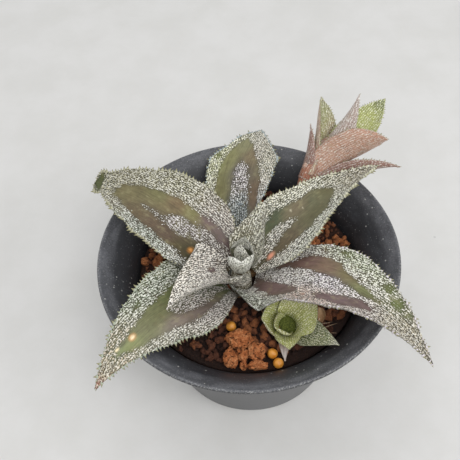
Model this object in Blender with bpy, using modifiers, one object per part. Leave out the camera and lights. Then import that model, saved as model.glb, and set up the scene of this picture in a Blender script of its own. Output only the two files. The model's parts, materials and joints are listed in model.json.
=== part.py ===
"""A silver-scaled bromeliad with two offsets in a shallow flared nursery pot.

The pot stands on the floor with its axis on the world Z axis.  Sizes below are in
millimetres and degrees; everything is turned into metres as it is built.
"""

import math
from dataclasses import dataclass

import bmesh
import bpy
from mathutils import Euler, Matrix, Vector

MM = 0.001
ROUND_STEPS = 56

# Pot: half profile (radius, height), from the middle of the inside floor up the inner
# wall, over the rim bead, down the outer wall and in to the middle of the base.
POT_PROFILE = (
    (0.0, 2.4), (32.5, 2.4), (34.6, 4.5), (44.0, 50.0), (46.0, 57.0), (49.5, 62.5),
    (54.0, 66.8), (58.3, 69.6), (59.2, 70.0), (60.0, 69.5), (60.0, 68.4), (59.2, 67.9),
    (58.0, 68.0), (54.6, 65.2), (50.6, 61.1), (47.6, 56.0), (45.6, 50.0), (36.4, 3.0),
    (35.4, 0.6), (34.6, 0.0), (0.0, 0.0),
)
DRAIN_COUNT = 6
DRAIN_RADIUS = 3.5
DRAIN_RING = 22.0

# Soil: domed a little towards the plant, clear of the pot wall all round.
SOIL_PROFILE = (
    (0.0, 58.5), (24.0, 57.9), (36.0, 57.1), (43.6, 56.6), (44.9, 55.6),
    (43.5, 50.0), (34.2, 5.2), (32.3, 2.8), (0.0, 2.8),
)
POCKET_GAP = 0.4
POCKET_DEPTH = 3.0

# The plant stands off the middle of the pot, towards the front.
ROSETTE = (-3.0, -9.0)
STEM_PROFILE = (
    (0.0, 74.0), (1.4, 73.6), (2.2, 72.4), (3.2, 70.6), (4.0, 68.0), (4.2, 64.0),
    (4.2, 56.2), (3.8, 55.9), (0.0, 55.9),
)

FRONT_OFFSET = (14.0, -27.0)
FRONT_STEM_PROFILE = (
    (0.0, 60.6), (1.4, 60.2), (2.2, 59.0), (2.3, 57.0), (2.0, 55.8), (0.0, 55.8),
)

# Runner: from the foot of the main stem, under the leaves, up to the back offset.
RUNNER_POINTS = (
    (1.0, -4.2, 60.5), (7.2, 7.2, 60.6), (16.0, 18.0, 64.6), (22.0, 28.0, 69.4),
    (26.5, 34.5, 73.0), (30.5, 38.6, 76.2), (34.0, 42.0, 79.0),
)
RUNNER_RADII = (1.5, 1.4, 1.4, 1.6, 2.3, 1.9, 0.8)

TIP_WIDTH = 0.5
CLASP_RISE = 0.28


@dataclass(frozen=True)
class Blade:
    """One strap leaf: it climbs out of its rosette, arches over and is cupped along its length.

    Pairs run base to tip.  Heading is the compass bearing from +X, climb the slope above level,
    twist is positive where it lifts the left margin, and cup is the half angle of the
    cross-section's arc.  Clasp is the share of the length over which the right half of the
    base wraps round the stem.
    """

    name: str
    heading: tuple
    length: float
    width: float
    climb: tuple
    twist: tuple
    cup: tuple
    height: float
    reach: float = 5.0
    base_share: float = 0.3
    widest: float = 0.4
    taper: float = 1.5
    thickness: float = 1.4
    rows: int = 12
    columns: int = 6
    clasp: float = 0.0


@dataclass(frozen=True)
class Rosette:
    """Where a rosette's axis starts, the bearing it leans towards and by how much."""

    origin: tuple
    lean_heading: float = 0.0
    lean: float = 0.0

    def matrix(self):
        """Place the rosette's own upright frame in the world."""
        turn = Matrix.Rotation(math.radians(self.lean_heading), 4, "Z")
        tilt = Matrix.Rotation(math.radians(self.lean), 4, "Y")
        return Matrix.Translation(Vector(self.origin)) @ turn @ tilt


MAIN_ROSETTE = Rosette(origin=(ROSETTE[0], ROSETTE[1], 0.0))
BACK_ROSETTE = Rosette(origin=(26.5, 34.5, 72.5), lean_heading=45.0, lean=60.0)
FRONT_ROSETTE = Rosette(origin=(FRONT_OFFSET[0], FRONT_OFFSET[1], 57.6), lean_heading=-95.0,
                        lean=20.0)

MAIN_LEAVES = (
    Blade("leaf_front_left", (209, 236), 72, 33, (44.5, -31.5), (11, -56), (20, 2), 61.0,
          widest=0.32, taper=1.15),
    Blade("leaf_back", (99, 63), 75.5, 30, (30, -16), (-22, -9), (42, 9), 62.0,
          base_share=0.35, widest=0.66, taper=1.7),
    Blade("leaf_front_right", (-12, -56), 82, 32, (43, -29), (-2, -12), (9, 40), 63.0,
          base_share=0.84, widest=0.5, taper=0.95, clasp=0.13),
    Blade("leaf_back_left", (139, 147), 76.5, 34, (38, -28), (-3, -28), (20, 28), 67.6,
          widest=0.3, taper=2.4),
    Blade("leaf_back_right", (41, 30), 68.5, 29.5, (34, -7), (8, -24), (30, 24), 68.0,
          widest=0.3, taper=1.3),
    Blade("young_leaf_front", (205, 241), 34, 31, (47, -4), (17, 5), (68, 41), 70.0,
          reach=4.5, base_share=0.5, widest=0.27, taper=0.8, rows=9),
    Blade("young_leaf_back", (64, 46), 28, 16.5, (68, 39), (-4, 2), (62, 32), 71.5,
          reach=4.5, base_share=0.6, widest=0.33, taper=0.9, rows=8),
)

HEART_LEAVES = (
    Blade("heart_leaf_front", (272, 268), 10, 13, (74, 84), (0, 0), (72, 66), 73.6,
          reach=3.6, base_share=0.8, widest=0.4, taper=2.4, thickness=0.8, rows=6),
    Blade("heart_leaf_back", (62, 70), 13, 11, (78, 84), (0, 0), (66, 50), 74.5,
          reach=2.7, base_share=0.6, widest=0.4, taper=1.6, thickness=0.8, rows=6),
    Blade("heart_leaf_inner", (190, 190), 9, 5.5, (86, 80), (0, 0), (74, 60), 75.5,
          reach=1.4, base_share=0.7, widest=0.35, taper=1.5, thickness=0.6, rows=6),
)

BACK_LEAVES = (
    Blade("back_offset_leaf_left", (130, 122), 22, 8, (80, 50), (0, 8), (40, 40), -1.0,
          reach=5.3, base_share=0.5, widest=0.4, taper=1.7, thickness=0.9, rows=8, columns=4),
    Blade("back_offset_leaf_upper", (98, 88), 35, 15.5, (84, 46), (0, -18), (44, 36), 1.5,
          reach=4.3, base_share=0.35, widest=0.55, taper=1.9, thickness=0.9, rows=8, columns=4),
    Blade("back_offset_leaf_middle", (207, 163), 35, 11, (86, 62), (-1, -4), (60, 44), 6.0,
          reach=2.6, base_share=0.4, widest=0.4, taper=1.4, thickness=0.9, rows=8, columns=4),
    Blade("back_offset_leaf_under", (-14, 14), 47, 14, (82, 68), (2, 10), (58, 22), 4.0,
          reach=2.5, base_share=0.35, widest=0.5, taper=1.8, thickness=0.9, rows=8, columns=4),
    Blade("back_offset_leaf_broad", (240, 256), 35, 20, (78, 33), (4, -1), (54, 38), 2.5,
          reach=4.2, base_share=0.3, widest=0.55, taper=2.3, thickness=0.9, rows=8, columns=4),
    Blade("back_offset_leaf_right", (284, 284), 36, 12.5, (70, 29), (-8, -15), (50, 44), -0.4,
          reach=5.0, base_share=0.4, widest=0.4, taper=1.4, thickness=0.9, rows=8, columns=4),
)

FRONT_LEAVES = (
    Blade("front_offset_leaf_low", (72, 62), 21, 12, (46, 18), (0, 0), (36, 20), 1.5,
          reach=3.4, base_share=0.5, widest=0.35, taper=1.2, thickness=0.8, rows=8, columns=4),
    Blade("front_offset_leaf_tip", (-6, 8), 12, 4.5, (42, 6), (0, 0), (30, 20), 1.9,
          reach=3.3, base_share=0.6, widest=0.35, taper=1.3, thickness=0.8, rows=8, columns=4),
    Blade("front_offset_leaf_left", (263, 275), 11.5, 14, (64, 18), (0, 0), (50, 40), 2.8,
          reach=3.2, base_share=0.45, widest=0.5, taper=2.4, thickness=0.8, rows=8, columns=4),
    Blade("front_offset_leaf_right", (126, 130), 15, 18.5, (73, 12), (0, 0), (60, 30), 4.0,
          reach=2.8, base_share=0.4, widest=0.5, taper=1.5, thickness=0.8, rows=8, columns=4),
    Blade("front_offset_leaf_front", (8, 6), 10.5, 9, (66, 34), (0, 0), (42, 38), 3.9,
          reach=3.8, base_share=0.4, widest=0.45, taper=1.9, thickness=0.8, rows=8, columns=4),
    Blade("front_offset_leaf_inner", (256, 256), 10.5, 10.5, (84, 58), (0, 0), (58, 50), 5.6,
          reach=2.2, base_share=0.45, widest=0.5, taper=2.2, thickness=0.8, rows=8, columns=4),
)

SCRAP_PLACE = Rosette(origin=(27.0, -26.0, 58.5))
DRY_SCRAP = Blade("dry_leaf_scrap", (60, 120), 6.5, 3.4, (34, -16), (0, 0), (55, 55), 0.6,
                  reach=0.0, base_share=0.6, widest=0.4, taper=2.0, thickness=0.7, rows=6,
                  columns=4)


@dataclass(frozen=True)
class Lump:
    """A broken clay lump: centre, half sizes, turn about Z and a number that varies its shape."""

    name: str
    centre: tuple
    half: tuple
    turn: float
    variety: float


LUMPS = (
    Lump("clay_lump_wide", (-3.8, -33.4), (4.9, 2.9, 3.2), 8.0, 0.3),
    Lump("clay_lump_left", (-7.9, -41.1), (2.1, 3.2, 2.8), -6.0, 1.7),
    Lump("clay_lump_middle", (-3.2, -39.4), (1.8, 2.1, 2.6), 14.0, 2.9),
    Lump("clay_lump_right", (2.2, -38.9), (2.7, 2.7, 3.3), -12.0, 4.1),
    Lump("clay_lump_low_right", (2.2, -43.7), (3.0, 1.4, 2.3), 6.0, 5.3),
    Lump("clay_lump_low_middle", (-3.0, -43.6), (1.2, 1.3, 1.7), 0.0, 6.7),
    Lump("clay_lump_back_left", (-31.0, 14.0), (3.6, 3.0, 2.4), 30.0, 7.9),
    Lump("clay_lump_back_right", (24.0, 12.0), (3.4, 3.0, 2.4), -20.0, 9.1),
)

PELLET_RADIUS = 2.0
PELLETS = (
    ("feed_pellet_left", (-7.4, -27.4)),
    ("feed_pellet_front", (8.0, -39.2)),
    ("feed_pellet_low", (10.0, -43.1)),
)

COLOURS = {
    "pot_plastic": ((0.030, 0.031, 0.034, 1.0), 0.42),
    "soil_grain": ((0.060, 0.026, 0.013, 1.0), 0.95),
    "clay_grain": ((0.240, 0.090, 0.035, 1.0), 0.92),
    "feed_coating": ((0.600, 0.260, 0.045, 1.0), 0.30),
    "leaf": ((0.330, 0.340, 0.270, 1.0), 0.60),
    "red_leaf": ((0.420, 0.230, 0.180, 1.0), 0.60),
    "green_leaf": ((0.330, 0.430, 0.150, 1.0), 0.55),
    "dry_leaf": ((0.420, 0.290, 0.160, 1.0), 0.80),
    "stem": ((0.200, 0.130, 0.070, 1.0), 0.70),
}


def clear_scene():
    """Remove every object the file starts with."""
    for item in list(bpy.data.objects):
        bpy.data.objects.remove(item, do_unlink=True)


def make_materials():
    """One plain material for each finish."""
    made = {}
    for name, (colour, roughness) in COLOURS.items():
        material = bpy.data.materials.new(name)
        material.use_nodes = True
        shader = material.node_tree.nodes["Principled BSDF"]
        shader.inputs["Base Color"].default_value = colour
        shader.inputs["Roughness"].default_value = roughness
        made[name] = material
    return made


def add_object(name, mesh, material=None):
    """Put a mesh in the scene under its node's name."""
    item = bpy.data.objects.new(name, mesh)
    bpy.context.scene.collection.objects.link(item)
    if material is not None:
        mesh.materials.append(material)
    return item


def cutter_collection():
    """A collection of its own for the shapes that only cut."""
    found = bpy.data.collections.get("cutters")
    if found is None:
        found = bpy.data.collections.new("cutters")
        bpy.context.scene.collection.children.link(found)
    return found


def add_cutter(name, centre, radius, bottom, top):
    """An upright round cutter between two heights."""
    mesh = bpy.data.meshes.new(name)
    bm = bmesh.new()
    bmesh.ops.create_cone(bm, cap_ends=True, segments=24, radius1=radius * MM,
                          radius2=radius * MM, depth=(top - bottom) * MM)
    middle = Vector((centre[0], centre[1], (bottom + top) / 2)) * MM
    bmesh.ops.translate(bm, verts=bm.verts, vec=middle)
    bm.to_mesh(mesh)
    bm.free()
    item = bpy.data.objects.new(name, mesh)
    cutter_collection().objects.link(item)
    item.hide_render = True
    item.display_type = "WIRE"
    return item


def cut(target, cutter):
    """Take the cutter's shape away from the target."""
    step = target.modifiers.new(f"cut_{cutter.name}", "BOOLEAN")
    step.operation = "DIFFERENCE"
    step.solver = "EXACT"
    step.object = cutter


def revolve(name, profile, material, centre=(0.0, 0.0), steps=ROUND_STEPS):
    """Turn a half profile of (radius, height) pairs about the Z axis."""
    mesh = bpy.data.meshes.new(name)
    points = [(radius * MM, 0.0, height * MM) for radius, height in profile]
    edges = [(index, index + 1) for index in range(len(points) - 1)]
    mesh.from_pydata(points, edges, [])
    item = add_object(name, mesh, material)
    item.location = (centre[0] * MM, centre[1] * MM, 0.0)
    turn = item.modifiers.new("turn", "SCREW")
    turn.steps = steps
    turn.render_steps = steps
    turn.use_merge_vertices = True
    turn.merge_threshold = 0.0000005
    turn.use_smooth_shade = True
    return item


def ease(share):
    """Smooth 0 to 1 step."""
    share = min(max(share, 0.0), 1.0)
    return share * share * (3.0 - 2.0 * share)


def mix(pair, share):
    """Value between the two ends of a pair."""
    return pair[0] + (pair[1] - pair[0]) * share


def half_width(blade, share):
    """Half of the leaf's width at a share of its length."""
    if share < blade.widest:
        swell = math.sin(share / blade.widest * math.pi / 2) ** 1.2
        part = blade.base_share + (1.0 - blade.base_share) * swell
    else:
        part = 1.0 - ((share - blade.widest) / (1.0 - blade.widest)) ** blade.taper
    return max(part * blade.width, TIP_WIDTH) / 2


def clasped(blade, along_arc):
    """Point on the arc a leaf's base makes round its stem."""
    bearing = math.radians(blade.heading[0]) + along_arc / blade.reach
    height = blade.height + CLASP_RISE * abs(along_arc)
    return Vector((blade.reach * math.cos(bearing), blade.reach * math.sin(bearing), height))


def midline(blade, count):
    """Points down the middle of a leaf with the directions along, across and out of its face."""
    heading = math.radians(blade.heading[0])
    point = Vector((blade.reach * math.cos(heading), blade.reach * math.sin(heading),
                    blade.height))
    stations = []
    before = None
    for index in range(count + 1):
        share = index / count
        heading = math.radians(mix(blade.heading, share))
        climb = math.radians(mix(blade.climb, share))
        along = Vector((math.cos(climb) * math.cos(heading),
                        math.cos(climb) * math.sin(heading), math.sin(climb)))
        if before is not None:
            point = point + (before + along) / 2 * (blade.length / count)
        flat = Vector((-math.sin(heading), math.cos(heading), 0.0))
        face = along.cross(flat)
        roll = math.radians(mix(blade.twist, share))
        across = flat * math.cos(roll) + face * math.sin(roll)
        out = face * math.cos(roll) - flat * math.sin(roll)
        stations.append((share, point.copy(), across, out))
        before = along
    return stations


def add_leaf(blade, rosette, material):
    """A leaf as a bent grid with an even thickness grown under its face."""
    mesh = bpy.data.meshes.new(blade.name)
    bm = bmesh.new()
    bmesh.ops.create_grid(bm, x_segments=blade.rows, y_segments=blade.columns, size=1.0)
    stations = midline(blade, blade.rows)
    place = rosette.matrix()
    for vertex in bm.verts:
        row = round((vertex.co.x + 1.0) / 2.0 * blade.rows)
        side = vertex.co.y
        share, point, across, out = stations[row]
        width = half_width(blade, share)
        cup = math.radians(max(mix(blade.cup, ease(share / 0.6)), 1.0))
        bent = point + across * (width * math.sin(cup * side) / cup)
        bent = bent + out * (width * (1.0 - math.cos(cup * side)) / cup)
        if side < 0.0 and share < blade.clasp:
            hold = 1.0 - ease(share / blade.clasp)
            bent = bent.lerp(clasped(blade, width * side), hold)
        vertex.co = place @ bent * MM
    bm.to_mesh(mesh)
    bm.free()
    for face in mesh.polygons:
        face.use_smooth = True
    item = add_object(blade.name, mesh, material)
    grow = item.modifiers.new("thickness", "SOLIDIFY")
    grow.thickness = blade.thickness * MM
    grow.offset = -1.0
    grow.use_rim = True
    return item


def soil_height(x, y):
    """Height of the soil's top at a place."""
    radius = math.hypot(x, y)
    line = SOIL_PROFILE[:4]
    for (near, high), (far, low) in zip(line, line[1:]):
        if radius <= far:
            return high + (low - high) * (radius - near) / (far - near)
    return line[-1][1]


def add_lump(lump, material):
    """A knobbly lump with a flattened foot just clear of the soil."""
    mesh = bpy.data.meshes.new(lump.name)
    bm = bmesh.new()
    bmesh.ops.create_icosphere(bm, subdivisions=3, radius=1.0)
    centre = Vector((lump.centre[0], lump.centre[1], 0.0))
    floor = soil_height(*lump.centre) + 0.35
    turn = Matrix.Rotation(math.radians(lump.turn), 3, "Z")
    for vertex in bm.verts:
        x, y, z = vertex.co
        knob = math.sin(3.1 * x + lump.variety) * math.cos(2.7 * y - 1.3 * lump.variety)
        knob += 0.6 * math.sin(4.3 * z + 5.1 * x + 2.0 * lump.variety)
        size = 1.0 + 0.11 * knob
        spot = Vector((x * lump.half[0], y * lump.half[1], z * lump.half[2])) * size
        spot = turn @ spot + centre
        spot.z = max(spot.z + floor + lump.half[2] * 0.72, floor)
        vertex.co = spot * MM
    bm.to_mesh(mesh)
    bm.free()
    for face in mesh.polygons:
        face.use_smooth = True
    return add_object(lump.name, mesh, material)


def add_pellet(name, centre, material):
    """A round feed pellet resting on the soil."""
    mesh = bpy.data.meshes.new(name)
    bm = bmesh.new()
    bmesh.ops.create_uvsphere(bm, u_segments=16, v_segments=10, radius=PELLET_RADIUS * MM)
    height = soil_height(*centre) + PELLET_RADIUS + 0.25
    bmesh.ops.translate(bm, verts=bm.verts, vec=Vector((*centre, height)) * MM)
    bm.to_mesh(mesh)
    bm.free()
    for face in mesh.polygons:
        face.use_smooth = True
    return add_object(name, mesh, material)


def add_runner(material):
    """The runner as a bevelled curve that swells into the back offset's core."""
    curve = bpy.data.curves.new("runner", "CURVE")
    curve.dimensions = "3D"
    curve.bevel_depth = MM
    curve.bevel_resolution = 2
    curve.resolution_u = 3
    curve.use_fill_caps = True
    line = curve.splines.new("POLY")
    line.points.add(len(RUNNER_POINTS) - 1)
    for knot, point, radius in zip(line.points, RUNNER_POINTS, RUNNER_RADII):
        knot.co = (point[0] * MM, point[1] * MM, point[2] * MM, 1.0)
        knot.radius = radius
    line.use_smooth = True
    item = bpy.data.objects.new("runner", curve)
    bpy.context.scene.collection.objects.link(item)
    curve.materials.append(material)
    return item


def build_pot(materials):
    """The pot with its drain holes."""
    pot = revolve("pot", POT_PROFILE, materials["pot_plastic"])
    for index in range(DRAIN_COUNT):
        angle = 2.0 * math.pi * (index + 0.5) / DRAIN_COUNT
        centre = (DRAIN_RING * math.cos(angle), DRAIN_RING * math.sin(angle))
        cut(pot, add_cutter(f"drain_{index + 1}", centre, DRAIN_RADIUS, -2.0, 5.0))


def build_soil(materials):
    """The soil with a pocket for each stem."""
    soil = revolve("soil", SOIL_PROFILE, materials["soil_grain"])
    cut(soil, add_cutter("stem_pocket", ROSETTE, 4.2 + POCKET_GAP, 58.5 - POCKET_DEPTH, 62.0))
    cut(soil, add_cutter("front_pocket", FRONT_OFFSET, 2.3 + POCKET_GAP, 58.4 - POCKET_DEPTH,
                         62.0))


def main():
    """Build every piece."""
    clear_scene()
    materials = make_materials()
    build_pot(materials)
    build_soil(materials)
    revolve("plant_stem", STEM_PROFILE, materials["stem"], ROSETTE, 20)
    revolve("front_offset_stem", FRONT_STEM_PROFILE, materials["stem"], FRONT_OFFSET, 16)
    add_runner(materials["stem"])
    for blade in MAIN_LEAVES + HEART_LEAVES:
        add_leaf(blade, MAIN_ROSETTE, materials["leaf"])
    for blade in BACK_LEAVES:
        add_leaf(blade, BACK_ROSETTE, materials["red_leaf"])
    for blade in FRONT_LEAVES:
        add_leaf(blade, FRONT_ROSETTE, materials["green_leaf"])
    add_leaf(DRY_SCRAP, SCRAP_PLACE, materials["dry_leaf"])
    for lump in LUMPS:
        add_lump(lump, materials["clay_grain"])
    for name, centre in PELLETS:
        add_pellet(name, centre, materials["feed_coating"])


main()
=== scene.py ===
"""Looks of a silver-scaled bromeliad with two offsets in a shallow flared nursery pot.

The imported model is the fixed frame.  Sizes in the classes are millimetres and degrees; they
turn into metres as a mesh is made.  Patterns that follow a leaf read the leaf's own
attributes, and every other finish reads Object coordinates.
"""

import json
import logging
import math
from dataclasses import dataclass, field
from enum import Enum
from typing import Any, Iterable, Sequence

import bmesh
import bpy
import numpy as np
from mathutils import Matrix, Vector, noise

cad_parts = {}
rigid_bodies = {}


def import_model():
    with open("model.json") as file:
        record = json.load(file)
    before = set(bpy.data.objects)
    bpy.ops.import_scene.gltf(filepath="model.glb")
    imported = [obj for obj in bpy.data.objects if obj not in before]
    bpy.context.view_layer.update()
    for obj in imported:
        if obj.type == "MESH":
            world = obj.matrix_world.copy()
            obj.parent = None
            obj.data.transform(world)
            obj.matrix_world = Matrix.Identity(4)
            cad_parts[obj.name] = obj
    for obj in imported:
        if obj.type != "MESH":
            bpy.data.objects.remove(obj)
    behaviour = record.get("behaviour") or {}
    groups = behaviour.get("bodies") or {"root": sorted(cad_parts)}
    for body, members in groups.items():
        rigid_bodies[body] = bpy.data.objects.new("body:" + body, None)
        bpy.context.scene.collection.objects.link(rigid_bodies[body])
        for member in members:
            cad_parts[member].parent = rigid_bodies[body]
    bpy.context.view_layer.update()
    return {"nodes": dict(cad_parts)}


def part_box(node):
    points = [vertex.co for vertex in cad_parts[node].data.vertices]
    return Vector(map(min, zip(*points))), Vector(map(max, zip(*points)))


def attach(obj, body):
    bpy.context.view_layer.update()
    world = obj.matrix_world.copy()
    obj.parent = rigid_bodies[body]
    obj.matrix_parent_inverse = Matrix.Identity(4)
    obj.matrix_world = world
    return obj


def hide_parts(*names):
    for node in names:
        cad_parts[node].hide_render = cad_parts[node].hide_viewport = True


LOG = logging.getLogger("bromeliad")
MM = 0.001
BODY = "root"

Colour = tuple[float, float, float, float]
Point = tuple[float, float]


class Slot(Enum):
    """The record's material slots."""

    POT = "pot_plastic"
    SOIL = "soil_grain"
    CLAY = "clay_grain"
    FEED = "feed_coating"
    LEAF = "leaf"
    RED = "red_leaf"
    GREEN = "green_leaf"
    DRY = "dry_leaf"
    STEM = "stem"


def tint(red: float, green: float, blue: float) -> Colour:
    """A linear colour from the 0 to 255 numbers of a paint chart.

    Args:
        red, green, blue: Display values from 0 to 255.

    Returns:
        Linear red, green, blue and full alpha.
    """
    parts = []
    for value in (red, green, blue):
        share = value / 255.0
        parts.append(share / 12.92 if share <= 0.04045 else ((share + 0.055) / 1.055) ** 2.4)
    return (parts[0], parts[1], parts[2], 1.0)


# --------------------------------------------------------------------------- finishes


class Wire:
    """A socket in a finish's node tree, with arithmetic."""

    def __init__(self, mixer: "Mixer", socket: bpy.types.NodeSocket) -> None:
        """Keep the socket and the mixer that made it."""
        self.mixer = mixer
        self.socket = socket

    def maths(self, operation: str, *others: Any) -> "Wire":
        """A Math node on this value and others."""
        values = dict(enumerate((self, *others)))
        return self.mixer.node("Math", {"operation": operation}, values)

    def __add__(self, other: Any) -> "Wire":
        """Sum."""
        return self.maths("ADD", other)

    __radd__ = __add__

    def __sub__(self, other: Any) -> "Wire":
        """Difference."""
        return self.maths("SUBTRACT", other)

    def __rsub__(self, other: Any) -> "Wire":
        """Difference from a number."""
        return self.mixer.node("Math", {"operation": "SUBTRACT"}, {0: other, 1: self})

    def __mul__(self, other: Any) -> "Wire":
        """Product."""
        return self.maths("MULTIPLY", other)

    __rmul__ = __mul__

    def larger(self, other: Any) -> "Wire":
        """The larger of two values."""
        return self.maths("MAXIMUM", other)

    def smaller(self, other: Any) -> "Wire":
        """The smaller of two values."""
        return self.maths("MINIMUM", other)

    def step(self, low: Any, high: Any) -> "Wire":
        """A smooth step from 0 at the low value to 1 at the high one."""
        values = {"Value": self, "From Min": low, "From Max": high}
        return self.mixer.node("MapRange", {"interpolation_type": "SMOOTHSTEP"}, values)


class Mixer:
    """Builds one material's nodes."""

    def __init__(self, name: str) -> None:
        """Start with a Principled shader on its own."""
        self.material = bpy.data.materials.new(name)
        self.material.use_nodes = True
        self.tree = self.material.node_tree
        self.shader = self.tree.nodes["Principled BSDF"]

    def node(
        self,
        kind: str,
        settings: dict[str, Any] | None = None,
        values: dict[Any, Any] | None = None,
        out: Any = 0,
    ) -> Wire:
        """Add a node.

        Args:
            kind: Node type without its ShaderNode prefix.
            settings: Properties, set first; "stops" are a ramp's position and colour pairs.
            values: Numbers, colours or wires by socket name or index.
            out: Output socket's name or index.

        Returns:
            The output as a wire.
        """
        made = self.tree.nodes.new("ShaderNode" + kind)
        for key, value in (settings or {}).items():
            if key == "stops":
                elements = made.color_ramp.elements
                while len(elements) < len(value):
                    elements.new(1.0)
                for element, (position, colour) in zip(elements, value):
                    element.position = position
                    element.color = colour
            else:
                setattr(made, key, value)
        for key, value in (values or {}).items():
            self.feed(made.inputs[key], value)
        return Wire(self, made.outputs[out])

    def feed(self, socket: bpy.types.NodeSocket, value: Any) -> None:
        """Link a wire to a socket, or set its number or colour."""
        if isinstance(value, Wire):
            self.tree.links.new(value.socket, socket)
        else:
            socket.default_value = value

    def place(self) -> Wire:
        """Object coordinates in millimetres."""
        spot = self.node("TexCoord", out="Object")
        return self.vector("SCALE", spot, scale=1.0 / MM)

    def read(self, name: str, out: str = "Fac") -> Wire:
        """A mesh attribute."""
        return self.node("Attribute", {"attribute_name": name}, out=out)

    def axis(self, vector: Wire, index: int) -> Wire:
        """One coordinate of a vector."""
        return self.node("SeparateXYZ", {}, {0: vector}, index)

    def channel(self, colour: Wire, index: int) -> Wire:
        """One channel of a colour."""
        return self.node("SeparateColor", {}, {0: colour}, index)

    def vector(self, operation: str, first: Any, second: Any = None, scale: float = 1.0) -> Wire:
        """A Vector Math node."""
        values = {0: first}
        if second is not None:
            values[1] = second
        if operation == "SCALE":
            values["Scale"] = scale
        return self.node("VectorMath", {"operation": operation}, values)

    def blend(self, share: Any, first: Any, second: Any) -> Wire:
        """Mix two colours."""
        return self.node("Mix", {"data_type": "RGBA"}, {0: share, 6: first, 7: second}, 2)

    def clouds(self, spot: Wire, scale: float, detail: float = 2.0, rough: float = 0.5,
               out: Any = "Fac") -> Wire:
        """Noise, scale in features per millimetre."""
        values = {"Vector": spot, "Scale": scale, "Detail": detail, "Roughness": rough}
        return self.node("TexNoise", {}, values, out)

    def swayed(self, spot: Wire, scale: float, detail: float, reach: float) -> Wire:
        """Coordinates bent by noise."""
        sway = self.clouds(spot, scale, detail, out="Color")
        return self.vector("ADD", spot, self.vector("SCALE", sway, scale=reach))

    def cells(self, spot: Wire, scale: float = 1.0, flat: bool = False,
              out: str = "Distance") -> Wire:
        """Voronoi cells, scale in cells per millimetre."""
        settings = {"voronoi_dimensions": "2D" if flat else "3D", "feature": "F1"}
        return self.node("TexVoronoi", settings, {"Vector": spot, "Scale": scale}, out)

    def relief(self, height: Wire, depth: float) -> Wire:
        """A bump of a depth in millimetres."""
        return self.node("Bump", {}, {"Height": height, "Distance": depth * MM}, "Normal")

    def finish(self, **inputs: Any) -> bpy.types.Material:
        """Feed the Principled shader and hand over the material.

        Args:
            inputs: Its sockets, with underscores for spaces.

        Returns:
            The material.
        """
        for key, value in inputs.items():
            self.feed(self.shader.inputs[key.replace("_", " ")], value)
        return self.material


@dataclass(frozen=True)
class PotPlastic:
    """Satin charcoal plastic with scuffs and powder specks, plus painted sheen, highlight, shade
    and floor reflection.
    """

    base: Colour = tint(47, 48, 52)
    worn: Colour = tint(84, 86, 91)
    # Pale powder specks, and a painted highlight line on the lower rim ridge.
    dust_and_ridge_highlight: Colour = tint(196, 196, 192)
    # Painted reflection of the pale floor on the outer wall.
    floor_reflection: Colour = tint(116, 116, 117)
    # Lighter grey for the lip: scuffs plus painted sheen.
    lip_scuff_and_sheen: Colour = tint(122, 123, 128)
    # Painted shade for the inside wall.
    shaded: Colour = tint(26, 26, 29)

    def material(self) -> bpy.types.Material:
        """Make the finish."""
        mixer = Mixer("charcoal_plastic")
        spot = mixer.place()
        haze = mixer.clouds(spot, 0.045, 4.0, 0.6)
        grain = mixer.clouds(spot, 1.6, 3.0, 0.6)
        scuff = mixer.clouds(mixer.vector("MULTIPLY", spot, (0.5, 0.5, 2.4)), 0.22, 5.0, 0.7)
        wear = (haze.step(0.4, 0.72) * 0.4 + scuff.step(0.5, 0.72) * 0.5
                + grain.step(0.5, 0.75) * 0.3)
        colour = mixer.blend(wear, self.base, self.worn)
        facing = mixer.node("NewGeometry", out="Normal")
        outward = mixer.vector("MULTIPLY", facing, mixer.vector("MULTIPLY", spot, (1, 1, 0)))
        sides = mixer.axis(outward, 0) + mixer.axis(outward, 1)
        height_up = mixer.axis(spot, 2)
        upward = mixer.axis(facing, 2).step(0.35, 0.95)
        # Painted sheen with scuffs: faces near the rim that point up are mixed lighter, as light
        # from above falls on them.
        lip = upward * height_up.step(66.0, 68.5)
        colour = mixer.blend(lip * (0.22 + scuff.step(0.42, 0.62) * 0.22
                                    + grain.step(0.45, 0.62) * 0.2), colour, self.lip_scuff_and_sheen)
        radial = mixer.node("VectorMath", {"operation": "LENGTH"},
                            {0: mixer.vector("MULTIPLY", spot, (1, 1, 0))}, "Value")
        # Speckled powder with painted highlight: the lower ridge of the rim bead is mixed
        # towards pale grey, standing for the thin light line along it.
        edge = radial.step(58.9, 59.7) * height_up.step(66.9, 67.6)
        colour = mixer.blend(edge * grain.step(0.44, 0.7) * 0.34, colour, self.dust_and_ridge_highlight)
        # Painted shade: inward faces below the lip are mixed towards near-black, as the inside
        # of the pot lies in shade.
        inner_shade = (1.0 - sides.step(-6.0, 2.0)) * (1.0 - height_up.step(54.0, 67.0))
        colour = mixer.blend(inner_shade * 0.7, colour, self.shaded)
        # Painted reflection: outward faces below the lip are mixed towards light grey, standing
        # for the pale floor they reflect.
        floor_reflection = sides.step(4.0, 18.0) * (1.0 - height_up.step(66.4, 67.4))
        colour = mixer.blend(floor_reflection * (0.55 + haze * 0.3), colour, self.floor_reflection)
        distance = mixer.cells(spot, 0.42)
        chance = mixer.channel(mixer.cells(spot, 0.42, out="Color"), 0)
        speck = (1.0 - distance.step(0.07, 0.17)) * chance.step(0.6, 0.66)
        fine = (1.0 - mixer.cells(spot, 1.1).step(0.08, 0.24)) * grain.step(0.46, 0.6)
        powder = (speck * 0.9).larger(fine * 0.5) * (1.0 - floor_reflection * 0.8)
        colour = mixer.blend(powder, colour, self.dust_and_ridge_highlight)
        rough = (0.36 + haze * 0.16 + scuff * 0.1 + powder * 0.3).smaller(0.95)
        height = grain * 0.5 + mixer.clouds(spot, 5.0, 2.0) * 0.25 + powder * 0.8
        return mixer.finish(Base_Color=colour, Roughness=rough,
                            Normal=mixer.relief(height, 0.03), Specular_IOR_Level=0.5)


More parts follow.
